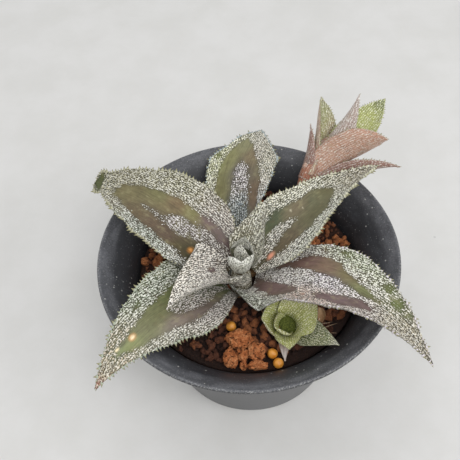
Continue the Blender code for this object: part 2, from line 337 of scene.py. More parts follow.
@dataclass(frozen=True)
class GrainFinish:
    """Baked clay granules and peat, from wet and dark to dry and orange."""

    name: str
    wet: Colour = tint(46, 29, 25)
    damp: Colour = tint(110, 67, 48)
    dry: Colour = tint(186, 118, 73)
    lift: float = 1.0

    def material(self) -> bpy.types.Material:
        """Make the finish, which reads each grain's tone."""
        mixer = Mixer(self.name)
        spot = mixer.place()
        tone = mixer.read("tone")
        patch = mixer.clouds(spot, 0.9, 4.0, 0.65)
        share = (tone + (patch - 0.5) * 0.7) * self.lift
        colour = mixer.node("ValToRGB", {"stops": (
            (0.0, self.wet), (0.5, self.damp), (1.0, self.dry))}, {0: share}, 0)
        # Painted shade: small pits are mixed towards near-black, standing for the shade inside
        # them.
        pits = 1.0 - mixer.cells(spot, 1.7).step(0.12, 0.3)
        colour = mixer.blend(pits * 0.75, colour, tint(18, 11, 9))
        crumb = mixer.clouds(spot, 3.4, 4.0, 0.7)
        colour = mixer.blend(crumb.step(0.56, 0.74) * 0.35, colour, tint(176, 112, 70))
        height = crumb + patch * 1.2 - pits * 0.9
        return mixer.finish(Base_Color=colour, Roughness=0.66 + share * 0.26,
                            Normal=mixer.relief(height, 0.6), Specular_IOR_Level=0.35)


@dataclass(frozen=True)
class ClayFinish:
    """Rough orange-brown clay with pores, which are painted dark as shade."""

    def material(self) -> bpy.types.Material:
        """Make the finish."""
        mixer = Mixer("baked_clay")
        spot = mixer.place()
        patch = mixer.clouds(spot, 0.35, 4.0, 0.6)
        crumb = mixer.clouds(spot, 2.2, 5.0, 0.7)
        colour = mixer.node("ValToRGB", {"stops": (
            (0.3, tint(98, 54, 30)), (0.5, tint(184, 110, 64)), (0.72, tint(226, 164, 114)))},
            {0: patch * 0.6 + crumb * 0.45}, 0)
        bent = mixer.swayed(spot, 0.7, 3.0, 3.2)
        pores = (1.0 - mixer.cells(bent, 0.7).step(0.16, 0.4)) * crumb.step(0.36, 0.5)
        pinholes = 1.0 - mixer.cells(bent, 1.5).step(0.1, 0.3)
        holes = pores.larger(pinholes * 0.6)
        # Painted shade: pores and pinholes are mixed towards dark brown, standing for the shade
        # inside them.
        colour = mixer.blend(holes * 0.85, colour, tint(58, 28, 16))
        height = crumb * 1.1 + patch - holes * 1.1
        return mixer.finish(Base_Color=colour, Roughness=0.92,
                            Normal=mixer.relief(height, 0.6), Specular_IOR_Level=0.25)


@dataclass(frozen=True)
class FeedCoating:
    """Glossy amber resin coat of a feed pellet."""

    def material(self) -> bpy.types.Material:
        """Make the finish."""
        mixer = Mixer("amber_coating")
        spot = mixer.place()
        haze = mixer.clouds(spot, 0.5, 3.0)
        colour = mixer.node("ValToRGB", {"stops": (
            (0.3, tint(188, 118, 32)), (0.7, tint(228, 160, 70)))}, {0: haze}, 0)
        dirt = mixer.clouds(spot, 2.6, 4.0, 0.7).step(0.62, 0.8)
        colour = mixer.blend(dirt * 0.45, colour, tint(120, 66, 24))
        return mixer.finish(Base_Color=colour, Roughness=0.3 + dirt * 0.4,
                            Normal=mixer.relief(haze + dirt * 0.4, 0.12),
                            Specular_IOR_Level=0.5)


@dataclass(frozen=True)
class LeafFinish:
    """Leaf skin under a coat of pale scales laid in rows along the leaf.

    Attributes read: cover, skin, scurf and metric, which holds millimetres across and along.
    """

    name: str
    across: float = 0.62
    along: float = 0.9
    shade: float = 0.74
    pits: float = 0.9
    rows: float = 0.3
    gloss: float = 0.4
    reach: float = 0.56
    lane: float = 0.84

    def material(self) -> bpy.types.Material:
        """Make the finish."""
        mixer = Mixer(self.name)
        metric = mixer.read("metric", "Vector")
        cover = mixer.read("cover")
        skin = mixer.read("skin", "Color")
        scurf = mixer.read("scurf", "Color")
        bent = mixer.swayed(metric, 0.6, 2.0, 0.7)
        grid = mixer.vector("MULTIPLY", bent, (1.0 / self.across, 1.0 / self.along, 1.0))
        streak = mixer.clouds(mixer.vector("MULTIPLY", metric, (1.5, 0.16, 1.0)), 1.0, 3.0, 0.6)
        patch = mixer.clouds(metric, 0.35, 3.0, 0.6)
        dense = cover + (streak - 0.5) * self.rows * 2.0 + (patch - 0.5) * 0.35
        lane = mixer.axis(bent, 0) * (2.0 * math.pi / self.lane)
        dense = dense + lane.maths("SINE") * self.rows * 0.7
        dense = dense * cover.step(0.02, 0.3)
        first = self.layer(mixer, grid, dense, 1.0, self.reach, 0.14)
        second = self.layer(mixer, grid, dense, 1.65, self.reach * 0.8, 0.12)
        flakes = first.larger(second * 0.9)
        hole = 1.0 - mixer.cells(grid, 0.58, True).step(0.14, 0.34)
        hole = hole * patch.step(0.3, 0.6) * self.pits
        flakes = flakes * (1.0 - hole)
        grain = mixer.clouds(mixer.vector("MULTIPLY", metric, (1.3, 0.2, 1.0)), 2.0, 4.0, 0.6)
        # Painted shade between the scales: where the coat is dense, the skin is mixed towards
        # near-black.
        base = mixer.blend(cover * self.shade, skin, tint(30, 30, 22))
        base = mixer.blend((grain - 0.5).larger(0.0) * 0.7, base, tint(24, 26, 16))
        base = mixer.blend((0.5 - grain).larger(0.0) * 0.6, base, tint(176, 166, 122))
        vein = mixer.clouds(mixer.vector("MULTIPLY", metric, (2.6, 0.07, 1.0)), 1.0, 2.0, 0.5)
        base = mixer.blend(vein.step(0.5, 0.66) * 0.28, base, tint(46, 40, 26))
        base = mixer.blend(patch.step(0.52, 0.75) * 0.2, base, tint(112, 88, 58))
        smudge = mixer.clouds(mixer.vector("MULTIPLY", metric, (0.5, 0.3, 1.0)), 0.8, 4.0, 0.65)
        base = mixer.blend(smudge.step(0.5, 0.7) * 0.34, base, tint(66, 58, 40))
        base = mixer.blend((1.0 - smudge).step(0.52, 0.7) * 0.3, base, tint(168, 162, 122))
        chance = mixer.channel(mixer.cells(grid, 1.0, True, "Color"), 0)
        pale = mixer.blend(chance * 0.8, scurf, tint(253, 251, 243))
        pale = mixer.blend(patch.step(0.5, 0.8) * 0.25, pale, tint(140, 136, 116))
        colour = mixer.blend(flakes, base, pale)
        height = flakes + grain * 0.35 * (1.0 - flakes)
        return mixer.finish(Base_Color=colour,
                            Roughness=self.gloss + flakes * (0.86 - self.gloss) + grain * 0.08,
                            Normal=mixer.relief(height, 0.16), Specular_IOR_Level=0.4)

    @staticmethod
    def layer(mixer: Mixer, grid: Wire, dense: Wire, scale: float, reach: float,
              bare: float) -> Wire:
        """One layer of scales.

        Args:
            mixer: The material's mixer.
            grid: Coordinates in scales.
            dense: Share of the skin that is covered.
            scale: Scales per grid unit.
            reach: Radius of a scale where the coat is full.
            bare: How far the radius drops where there is no coat.

        Returns:
            Mask of the scales.
        """
        distance = mixer.cells(grid, scale, True)
        chance = mixer.channel(mixer.cells(grid, scale, True, "Color"), 1)
        radius = dense * reach - bare + (chance - 0.5) * 0.3
        return (radius - distance).step(-0.05, 0.09)


@dataclass(frozen=True)
class FlakeFinish:
    """Pale papery scales that stand off a leaf."""

    def material(self) -> bpy.types.Material:
        """Make the finish, which reads the scurf colour under each scale."""
        mixer = Mixer("pale_scale")
        scurf = mixer.read("scurf", "Color")
        spot = mixer.place()
        patch = mixer.clouds(spot, 1.1, 2.0)
        colour = mixer.blend(patch.step(0.3, 0.7) * 0.7, scurf, tint(246, 245, 236))
        height = mixer.clouds(spot, 7.0, 2.0)
        return mixer.finish(Base_Color=colour, Roughness=0.85 + patch * 0.1,
                            Normal=mixer.relief(height, 0.04), Specular_IOR_Level=0.3)


@dataclass(frozen=True)
class ToothFinish:
    """Horny margin teeth, straw with darker points."""

    def material(self) -> bpy.types.Material:
        """Make the finish, which reads how far along its tooth a point is."""
        mixer = Mixer("margin_tooth")
        point = mixer.read("point")
        scurf = mixer.read("scurf", "Color")
        spot = mixer.place()
        patch = mixer.clouds(spot, 1.4, 3.0)
        horn = mixer.blend(patch, tint(172, 168, 134), tint(110, 108, 72))
        colour = mixer.blend(point.step(0.1, 0.55), scurf, horn)
        colour = mixer.blend(point.step(0.8, 1.0) * 0.4, colour, tint(104, 94, 62))
        return mixer.finish(Base_Color=colour, Roughness=0.55 + patch * 0.2,
                            Normal=mixer.relief(patch, 0.05), Specular_IOR_Level=0.4)


@dataclass(frozen=True)
class StrawFinish:
    """Dry brown plant matter with lengthwise fibres."""

    name: str
    dark: Colour
    light: Colour

    @staticmethod
    def fibres(mixer: Mixer, spot: Wire) -> Wire:
        """Fibres that run up the piece."""
        return mixer.clouds(mixer.vector("MULTIPLY", spot, (2.4, 2.4, 0.7)), 0.8, 5.0, 0.7)

    def material(self) -> bpy.types.Material:
        """Make the finish."""
        mixer = Mixer(self.name)
        spot = mixer.place()
        fibre = self.fibres(mixer, spot)
        blotch = mixer.clouds(spot, 0.5, 3.0)
        colour = mixer.blend(fibre.step(0.35, 0.7), self.dark, self.light)
        colour = mixer.blend(blotch.step(0.5, 0.8) * 0.5, colour, self.dark)
        return mixer.finish(Base_Color=colour, Roughness=0.7 + fibre * 0.25,
                            Normal=mixer.relief(fibre, 0.18), Specular_IOR_Level=0.35)


@dataclass(frozen=True)
class StemFinish(StrawFinish):
    """Bark below, turning to the scurfy colour of leaf bases above a height."""

    bases: Colour
    height: float

    def material(self) -> bpy.types.Material:
        """Make the finish."""
        mixer = Mixer(self.name)
        spot = mixer.place()
        fibre = self.fibres(mixer, spot)
        fleck = 1.0 - mixer.cells(spot, 1.6).step(0.25, 0.5)
        colour = mixer.blend(fibre.step(0.35, 0.7), self.dark, self.light)
        above = mixer.axis(spot, 2).step(self.height - 2.0, self.height)
        scurfy = mixer.blend(fleck, mixer.blend(fibre, self.bases, self.dark),
                             tint(214, 212, 196))
        colour = mixer.blend(above, colour, scurfy)
        return mixer.finish(Base_Color=colour, Roughness=0.7 + fibre * 0.25,
                            Normal=mixer.relief(fibre, 0.18), Specular_IOR_Level=0.35)


@dataclass(frozen=True)
class FloorFinish:
    """Plain pale matt board."""

    def material(self) -> bpy.types.Material:
        """Make the finish."""
        mixer = Mixer("pale_board")
        spot = mixer.place()
        mottle = mixer.clouds(spot, 0.03, 5.0, 0.6)
        colour = mixer.blend(mottle.step(0.3, 0.7), tint(213, 212, 209), tint(219, 218, 216))
        speck = 1.0 - mixer.cells(spot, 0.02).step(0.012, 0.02)
        colour = mixer.blend(speck * 0.35, colour, tint(150, 148, 146))
        height = mixer.clouds(spot, 0.5, 4.0)
        return mixer.finish(Base_Color=colour, Roughness=0.75 + mottle * 0.1,
                            Normal=mixer.relief(height, 0.05), Specular_IOR_Level=0.25)


# --------------------------------------------------------------------------- mesh helpers


def publish(item: bpy.types.Object, slot: Slot, *nodes: str) -> None:
    """Hand a finished piece to the frame.

    Args:
        item: The piece.
        slot: The record's slot; not used.
        nodes: CAD nodes it stands for.
    """
    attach(item, BODY)
    if nodes:
        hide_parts(*nodes)
    faces = len(item.data.polygons)
    LOG.info("%s: %d faces, stands for %s", item.name, faces, ", ".join(nodes) or "itself")


def add_mesh(name: str, points: Any, faces: Iterable[Sequence[int]],
             material: bpy.types.Material | None = None, closed: bool = True,
             edges: Sequence[tuple[int, int]] = ()) -> bpy.types.Object:
    """Make an object from points in millimetres.

    Args:
        name: The object's name.
        points: Array of points.
        faces: Corner numbers of each face.
        material: Its finish.
        closed: Whether to turn its faces outwards.
        edges: Loose edges.

    Returns:
        The object.
    """
    mesh = bpy.data.meshes.new(name)
    mesh.from_pydata(np.asarray(points, float) * MM, list(edges), list(faces))
    if closed:
        bm = bmesh.new()
        bm.from_mesh(mesh)
        bmesh.ops.recalc_face_normals(bm, faces=bm.faces)
        bm.to_mesh(mesh)
        bm.free()
    mesh.update()
    for face in mesh.polygons:
        face.use_smooth = True
    item = bpy.data.objects.new(name, mesh)
    bpy.context.scene.collection.objects.link(item)
    if material is not None:
        mesh.materials.append(material)
    return item


def write(item: bpy.types.Object, name: str, kind: str, values: Any) -> None:
    """Store an attribute on an object's points.

    Args:
        item: The object.
        name: The attribute.
        kind: FLOAT, FLOAT_VECTOR or FLOAT_COLOR.
        values: One value for each point.
    """
    keys = {"FLOAT": "value", "FLOAT_VECTOR": "vector", "FLOAT_COLOR": "color"}
    made = item.data.attributes.new(name, kind, "POINT")
    made.data.foreach_set(keys[kind], np.asarray(values, np.float32).ravel())


def plain(item: bpy.types.Object, name: str) -> bpy.types.Object:
    """Replace an object and its modifiers by the mesh they give.

    Args:
        item: Object with live modifiers, which is removed.
        name: The new object's name.

    Returns:
        The plain object.
    """
    bpy.context.view_layer.update()
    graph = bpy.context.evaluated_depsgraph_get()
    mesh = bpy.data.meshes.new_from_object(item.evaluated_get(graph))
    mesh.name = name
    bpy.data.objects.remove(item)
    made = bpy.data.objects.new(name, mesh)
    bpy.context.scene.collection.objects.link(made)
    return made


def ease(share: Any) -> Any:
    """Smooth 0 to 1 step, on numbers or arrays."""
    held = np.clip(share, 0.0, 1.0)
    return held * held * (3.0 - 2.0 * held)


def rounded(profile: Sequence[Point], passes: int) -> list[Point]:
    """Cut the corners of a profile between its two ends.

    Args:
        profile: The corners.
        passes: How often each corner is cut.

    Returns:
        The smoother profile.
    """
    line = list(profile)
    for _ in range(passes):
        cut = [line[0]]
        for (x1, y1), (x2, y2) in zip(line, line[1:]):
            cut.append((x1 * 0.75 + x2 * 0.25, y1 * 0.75 + y2 * 0.25))
            cut.append((x1 * 0.25 + x2 * 0.75, y1 * 0.25 + y2 * 0.75))
        cut.append(line[-1])
        line = cut
    return line


def turned(name: str, profile: Sequence[Point], steps: int,
           material: bpy.types.Material | None) -> bpy.types.Object:
    """Turn a half profile about the Z axis into a closed shell.

    Args:
        name: The object's name.
        profile: Radius and height pairs whose ends lie on the axis.
        steps: Steps round the axis.
        material: Its finish.

    Returns:
        The object.
    """
    inner = profile[1:-1]
    angles = np.arange(steps) * 2.0 * math.pi / steps
    points = [(0.0, 0.0, profile[0][1]), (0.0, 0.0, profile[-1][1])]
    for radius, height in inner:
        points += [(radius * math.cos(a), radius * math.sin(a), height) for a in angles]
    faces = []
    for ring in range(len(inner) - 1):
        near, far = 2 + ring * steps, 2 + (ring + 1) * steps
        for index in range(steps):
            after = (index + 1) % steps
            faces.append((near + index, far + index, far + after, near + after))
    last = 2 + (len(inner) - 1) * steps
    for index in range(steps):
        after = (index + 1) % steps
        faces.append((0, 2 + index, 2 + after))
        faces.append((1, last + after, last + index))
    return add_mesh(name, points, faces, material)


def tube(points: Sequence[Sequence[float]], radii: Sequence[float], sides: int
         ) -> tuple[list[Vector], list[tuple[int, ...]]]:
    """A closed round tube along points.

    Args:
        points: The centreline.
        radii: Radius at each point.
        sides: Corners round the tube.

    Returns:
        Its points and faces.
    """
    line = [Vector(p) for p in points]
    spots: list[Vector] = []
    side = Vector((0.0, 0.0, 1.0))
    for index, spot in enumerate(line):
        ahead = line[min(index + 1, len(line) - 1)] - line[max(index - 1, 0)]
        ahead.normalize()
        side = side - ahead * side.dot(ahead)
        if side.length < 0.05:
            side = ahead.orthogonal()
        side.normalize()
        up = ahead.cross(side)
        for step in range(sides):
            turn = 2.0 * math.pi * step / sides
            spots.append(spot + (side * math.cos(turn) + up * math.sin(turn)) * radii[index])
    faces: list[tuple[int, ...]] = []
    for ring in range(len(line) - 1):
        near, far = ring * sides, (ring + 1) * sides
        for step in range(sides):
            after = (step + 1) % sides
            faces.append((near + step, near + after, far + after, far + step))
    faces.append(tuple(range(sides))[::-1])
    faces.append(tuple(range((len(line) - 1) * sides, len(line) * sides)))
    return spots, faces


def flowing(points: Sequence[Sequence[float]], radii: Sequence[float], count: int
            ) -> tuple[list[Vector], list[float]]:
    """Resample a line smoothly through its points.

    Args:
        points: Knots.
        radii: Radius at each knot.
        count: Pieces between two knots.

    Returns:
        The finer points and radii.
    """
    knots = [Vector((*p, r)) for p, r in zip(points, radii)]
    ends = [knots[0] * 2 - knots[1], *knots, knots[-1] * 2 - knots[-2]]
    fine: list[Vector] = []
    for index in range(1, len(ends) - 2):
        a, b, c, d = ends[index - 1:index + 3]
        for step in range(count):
            t = step / count
            fine.append(0.5 * (2 * b + (c - a) * t + (2 * a - 5 * b + 4 * c - d) * t * t
                               + (3 * b - a - 3 * c + d) * t ** 3))
    fine.append(knots[-1])
    return [Vector(p[:3]) for p in fine], [max(p[3], 0.02) for p in fine]


class Recipe:
    """A Geometry Nodes tree with named inputs."""

    def __init__(self, name: str) -> None:
        """Start a tree with geometry in and out."""
        self.tree = bpy.data.node_groups.new(name, "GeometryNodeTree")
        face = self.tree.interface
        face.new_socket("Geometry", in_out="INPUT", socket_type="NodeSocketGeometry")
        face.new_socket("Geometry", in_out="OUTPUT", socket_type="NodeSocketGeometry")
        self.source = self.tree.nodes.new("NodeGroupInput")
        self.sink = self.tree.nodes.new("NodeGroupOutput")

    def dial(self, name: str, kind: str) -> bpy.types.NodeSocket:
        """Add a named input of a socket type such as Float or Material."""
        self.tree.interface.new_socket(name, in_out="INPUT", socket_type="NodeSocket" + kind)
        return self.source.outputs[name]

    def node(self, kind: str, settings: dict[str, Any] | None = None,
             values: dict[Any, Any] | None = None) -> bpy.types.Node:
        """Add a node.

        Args:
            kind: Full node type.
            settings: Properties, set first.
            values: Numbers or sockets by input name or index.

        Returns:
            The node.
        """
        made = self.tree.nodes.new(kind)
        for key, value in (settings or {}).items():
            setattr(made, key, value)
        for key, value in (values or {}).items():
            if isinstance(value, bpy.types.NodeSocket):
                self.tree.links.new(value, made.inputs[key])
            else:
                made.inputs[key].default_value = value
        return made

    def named(self, name: str, kind: str = "FLOAT") -> bpy.types.NodeSocket:
        """Read a named attribute."""
        made = self.node("GeometryNodeInputNamedAttribute", {"data_type": kind}, {"Name": name})
        return made.outputs["Attribute"]

    def chance(self, low: float, high: float, seed: bpy.types.NodeSocket) -> Any:
        """A random number for each point."""
        made = self.node("FunctionNodeRandomValue", {"data_type": "FLOAT"},
                         {2: low, 3: high, "Seed": seed})
        return made.outputs[1]

    def product(self, first: Any, second: Any) -> bpy.types.NodeSocket:
        """First times second."""
        return self.node("ShaderNodeMath", {"operation": "MULTIPLY"},
                         {0: first, 1: second}).outputs[0]

    def close(self, geometry: bpy.types.NodeSocket, material: bpy.types.NodeSocket) -> None:
        """Realize the instances, set their material and end the tree."""
        real = self.node("GeometryNodeRealizeInstances", {}, {"Geometry": geometry})
        dressed = self.node("GeometryNodeSetMaterial", {},
                            {"Geometry": real.outputs[0], "Material": material})
        self.tree.links.new(dressed.outputs[0], self.sink.inputs[0])

    def apply(self, item: bpy.types.Object, name: str, **values: Any) -> bpy.types.Object:
        """Run the tree on an object and keep the result as a plain mesh.

        Args:
            item: The source object, which is used up.
            name: The new object's name.
            values: The tree's named inputs, with underscores for spaces.

        Returns:
            The plain object.
        """
        step = item.modifiers.new("recipe", "NODES")
        step.node_group = self.tree
        keys = {entry.name: entry.identifier for entry in self.tree.interface.items_tree
                if entry.item_type == "SOCKET" and entry.in_out == "INPUT"}
        for key, value in values.items():
            step[keys[key.replace("_", " ")]] = value
        return plain(item, name)


# --------------------------------------------------------------------------- pot and soil


@dataclass(frozen=True)
class NurseryPot:
    """The flared pot: half profile from the inside floor over the rim to the base."""

    profile: tuple[Point, ...] = (
        (0.0, 2.4), (30.0, 2.4), (32.9, 2.5), (34.7, 4.6), (39.3, 27.0), (43.9, 49.6),
        (44.9, 53.8), (46.3, 57.6), (49.2, 62.3), (53.8, 66.7), (56.6, 68.6), (58.3, 69.6),
        (59.0, 70.0), (59.6, 70.02), (60.0, 69.7), (60.08, 69.1), (59.95, 68.65),
        (59.5, 68.5), (59.2, 68.35), (59.15, 68.1), (59.4, 67.95), (59.55, 67.7),
        (59.4, 67.42), (58.9, 67.3), (57.3, 67.25), (54.4, 65.3), (50.5, 61.3),
        (47.7, 56.2), (46.9, 53.6), (45.8, 50.3), (41.1, 26.5), (36.6, 3.6), (35.6, 0.3),
        (34.2, 0.0), (33.0, 0.0), (32.2, 0.7), (0.0, 0.7),
    )
    steps: int = 192
    drain_count: int = 6
    drain_radius: float = 3.5
    drain_ring: float = 22.0

    def build(self) -> None:
        """Turn the shell, cut the drain holes and dress it."""
        material = PotPlastic().material()
        shell = turned("pot_shell", rounded(self.profile, 1), self.steps, material)
        cutter = self.drills()
        cut = shell.modifiers.new("drains", "BOOLEAN")
        cut.operation = "DIFFERENCE"
        cut.solver = "EXACT"
        cut.object = cutter
        pot = plain(shell, "flared_pot")
        bpy.data.objects.remove(cutter)
        publish(pot, Slot.POT, "pot")

    def drills(self) -> bpy.types.Object:
        """Upright rods where the drain holes go."""
        points: list[Vector] = []
        faces: list[tuple[int, ...]] = []
        for index in range(self.drain_count):
            angle = 2.0 * math.pi * (index + 0.5) / self.drain_count
            x, y = self.drain_ring * math.cos(angle), self.drain_ring * math.sin(angle)
            spots, sides = tube([(x, y, -2.0), (x, y, 5.0)], [self.drain_radius] * 2, 32)
            faces += [tuple(corner + len(points) for corner in side) for side in sides]
            points += spots
        return add_mesh("drills", points, faces)


@dataclass(frozen=True)
class Patch:
    """A round place in the soil whose grains are drier or wetter."""

    centre: Point
    radius: float
    tone: float


@dataclass(frozen=True)
class SoilBed:
    """Domed bed with loose granules over it."""

    profile: tuple[Point, ...] = ((0.0, 58.2), (24.0, 57.6), (36.0, 56.8), (43.6, 56.3))
    skirt: tuple[Point, ...] = ((44.9, 55.4), (43.5, 50.0), (34.2, 5.2), (32.3, 2.8), (0.0, 2.8))
    rings: int = 48
    steps: int = 168
    pitch: float = 1.6
    variants: int = 7
    facets: int = 2
    seed: int = 11
    patches: tuple[Patch, ...] = (
        Patch((-38.0, 8.0), 17.0, 0.86), Patch((30.0, 16.0), 16.0, 0.9),
        Patch((6.0, -42.0), 9.0, 0.5), Patch((-14.0, -36.0), 12.0, 0.36),
        Patch((22.0, -30.0), 11.0, 0.3), Patch((0.0, 30.0), 16.0, 0.5),
    )
    clearings: tuple[tuple[float, float, float], ...] = (
        (-3.0, -9.0, 5.6), (14.0, -27.0, 4.6), (-3.8, -33.4, 3.4), (-7.9, -41.1, 1.8),
        (-3.2, -39.4, 1.4), (2.2, -38.9, 2.2), (2.2, -43.7, 1.6), (-31.0, 14.0, 2.6),
        (24.0, 12.0, 2.6), (-7.4, -27.4, 2.2), (8.0, -39.2, 2.2), (10.0, -43.1, 2.2),
    )

    def height(self, radius: float) -> float:
        """Height of the bed's top at a radius."""
        return float(np.interp(radius, [p[0] for p in self.profile],
                               [p[1] for p in self.profile]))

    def tone(self, x: float, y: float) -> float:
        """How dry the soil is at a place, from 0 to 1."""
        total, weight = 0.42 * 0.25, 0.25
        for patch in self.patches:
            gap = math.hypot(x - patch.centre[0], y - patch.centre[1]) / patch.radius
            share = max(1.0 - gap * gap, 0.0) ** 1.5 * 2.0
            total += patch.tone * share
            weight += share
        return total / weight

    def room(self, x: float, y: float) -> float:
        """1 where a granule may lie, 0 at stems, lumps and the wall."""
        if math.hypot(x, y) > 43.0:
            return 0.0
        free = all(math.hypot(x - a, y - b) > gap for a, b, gap in self.clearings)
        return 1.0 if free else 0.0

    def build(self) -> None:
        """Make the bed and lay the granules on it."""
        finish = GrainFinish("soil_granules").material()
        peat = GrainFinish("peat_bed", tint(30, 19, 16), tint(54, 33, 25), tint(100, 58, 36),
                           0.8).material()
        radii = np.linspace(0.0, 43.6, self.rings + 1)
        line = [(float(r), self.height(r)) for r in radii]
        bed = turned("soil_bed", line + list(self.skirt), self.steps, peat)
        for vertex in bed.data.vertices:
            x, y, z = vertex.co / MM
            if z > 56.0 and math.hypot(x, y) < 43.7:
                lift = noise.noise(Vector((x * 0.32, y * 0.32, 3.0))) * 0.7
                lift += noise.noise(Vector((x * 0.9, y * 0.9, 7.0))) * 0.45
                vertex.co.z += (lift - 0.25) * MM
        write(bed, "tone", "FLOAT", [self.tone(v.co.x / MM, v.co.y / MM) * 0.8
                                     for v in bed.data.vertices])
        publish(bed, Slot.SOIL, "soil")
        publish(self.granules(finish), Slot.SOIL)

    def granules(self, finish: bpy.types.Material) -> bpy.types.Object:
        """Scatter granule shapes over the bed's top."""
        count = 56
        steps = np.linspace(-43.4, 43.4, count)
        points, faces = [], []
        for y in steps:
            for x in steps:
                points.append((x, y, self.height(math.hypot(x, y)) + 0.35))
        for row in range(count - 1):
            for column in range(count - 1):
                a = row * count + column
                faces.append((a, a + 1, a + count + 1, a + count))
        field_mesh = add_mesh("granule_field", points, faces, closed=False)
        write(field_mesh, "room", "FLOAT", [self.room(x, y) for x, y, _ in points])
        write(field_mesh, "tone", "FLOAT", [self.tone(x, y) for x, y, _ in points])
        shapes = bpy.data.collections.new("granule_shapes")
        bpy.context.scene.collection.children.link(shapes)
        for index in range(self.variants):
            self.granule(index, shapes)
        made = self.recipe().apply(
            field_mesh, "soil_granules", Shapes=shapes, Gap=self.pitch * MM,
            Finish=finish, Seed=self.seed, Least=0.3, Most=1.35)
        for shape in list(shapes.objects):
            bpy.data.objects.remove(shape)
        bpy.data.collections.remove(shapes)
        return made

    def granule(self, index: int, shapes: bpy.types.Collection) -> None:
        """One knobbly granule 2.9 mm across, before the bed scales it."""
        mesh = bpy.data.meshes.new(f"granule_{index}")
        bm = bmesh.new()
        bmesh.ops.create_icosphere(bm, subdivisions=self.facets, radius=1.45 * MM)
        for vertex in bm.verts:
            spot = vertex.co.normalized()
            swell = noise.noise(spot * 1.1 + Vector((index * 3.1, 0.0, 0.0))) * 0.8
            swell += noise.noise(spot * 2.4 + Vector((0.0, index * 2.3, 0.0))) * 0.6
            vertex.co = vertex.co * (1.0 + swell)
            vertex.co.z *= 0.78
        bm.to_mesh(mesh)
        bm.free()
        for face in mesh.polygons:
            face.use_smooth = True
        item = bpy.data.objects.new(f"granule_{index}", mesh)
        shapes.objects.link(item)

    @staticmethod
    def recipe() -> Recipe:
        """Granules on a field, each with its own turn, size and tone."""
        tree = Recipe("granule_scatter")
        shapes, gap = tree.dial("Shapes", "Collection"), tree.dial("Gap", "Float")
        least, most = tree.dial("Least", "Float"), tree.dial("Most", "Float")
        seed, finish = tree.dial("Seed", "Int"), tree.dial("Finish", "Material")
        spread = tree.node("GeometryNodeDistributePointsOnFaces",
                           {"distribute_method": "POISSON"},
                           {"Mesh": tree.source.outputs["Geometry"], "Distance Min": gap,
                            "Density Max": 400000.0, "Density Factor": tree.named("room"),
                            "Seed": seed})
        pool = tree.node("GeometryNodeCollectionInfo", {},
                         {"Collection": shapes, "Separate Children": True,
                          "Reset Children": True})
        spin = tree.node("FunctionNodeRandomValue", {"data_type": "FLOAT_VECTOR"},
                         {0: (0.0, 0.0, 0.0), 1: (6.28, 6.28, 6.28), "Seed": seed})
        turn = tree.node("FunctionNodeEulerToRotation", {}, {0: spin.outputs[0]})
        pick = tree.node("FunctionNodeRandomValue", {"data_type": "INT"},
                         {4: 0, 5: 100, "Seed": seed})
        size = tree.node("FunctionNodeRandomValue", {"data_type": "FLOAT"},
                         {2: least, 3: most, "Seed": seed})
        laid = tree.node("GeometryNodeInstanceOnPoints", {},
                         {"Points": spread.outputs["Points"], "Instance": pool.outputs[0],
                          "Pick Instance": True, "Instance Index": pick.outputs[2],
                          "Rotation": turn.outputs[0], "Scale": size.outputs[1]})
        shift = tree.chance(-0.5, 0.4, seed)
        total = tree.node("ShaderNodeMath", {"operation": "ADD"},
                          {0: tree.named("tone"), 1: shift})
        toned = tree.node("GeometryNodeStoreNamedAttribute",
                          {"data_type": "FLOAT", "domain": "INSTANCE"},
                          {"Geometry": laid.outputs[0], "Name": "tone",
                           "Value": total.outputs[0]})
        tree.close(toned.outputs[0], finish)
        return tree


@dataclass(frozen=True)
class Lump:
    """A broken clay lump: its node and how rough it is."""

    node: str
    turn: float
    variety: float
    power: float = 0.24

    def build(self, material: bpy.types.Material) -> None:
        """Fit a knobbly porous body in the node's box."""
        low, high = (Vector(corner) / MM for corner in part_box(self.node))
        centre, half = (low + high) / 2, (high - low) / 2
        mesh = bpy.data.meshes.new(self.node.replace("clay_lump", "broken_clay"))
        bm = bmesh.new()
        bmesh.ops.create_icosphere(bm, subdivisions=6, radius=1.0)
        shift = Vector((self.variety, self.variety * 0.7, -self.variety))
        for vertex in bm.verts:
            spot = vertex.co.copy()
            swell = noise.noise(spot * 1.2 + shift) * self.power * 1.5
            swell += noise.noise(spot * 2.8 + shift * 2) * self.power * 0.8
            swell += noise.noise(spot * 6.5 + shift * 3) * self.power * 0.6
            cell = noise.voronoi(spot * 4.2 + shift, distance_metric="DISTANCE")[0][0]
            swell -= max(0.34 - cell, 0.0) * 0.6
            fine = noise.noise(spot * 15.0 + shift) * 0.035
            size = 1.13 + swell + fine
            vertex.co = centre + Vector((spot.x * half.x, spot.y * half.y,
                                         spot.z * half.z)) * size
            vertex.co.z = max(vertex.co.z, low.z - 0.15)
            vertex.co *= MM
        bm.to_mesh(mesh)
        bm.free()
        for face in mesh.polygons:
            face.use_smooth = True
        mesh.materials.append(material)
        item = bpy.data.objects.new(mesh.name, mesh)
        bpy.context.scene.collection.objects.link(item)
        publish(item, Slot.CLAY, self.node)


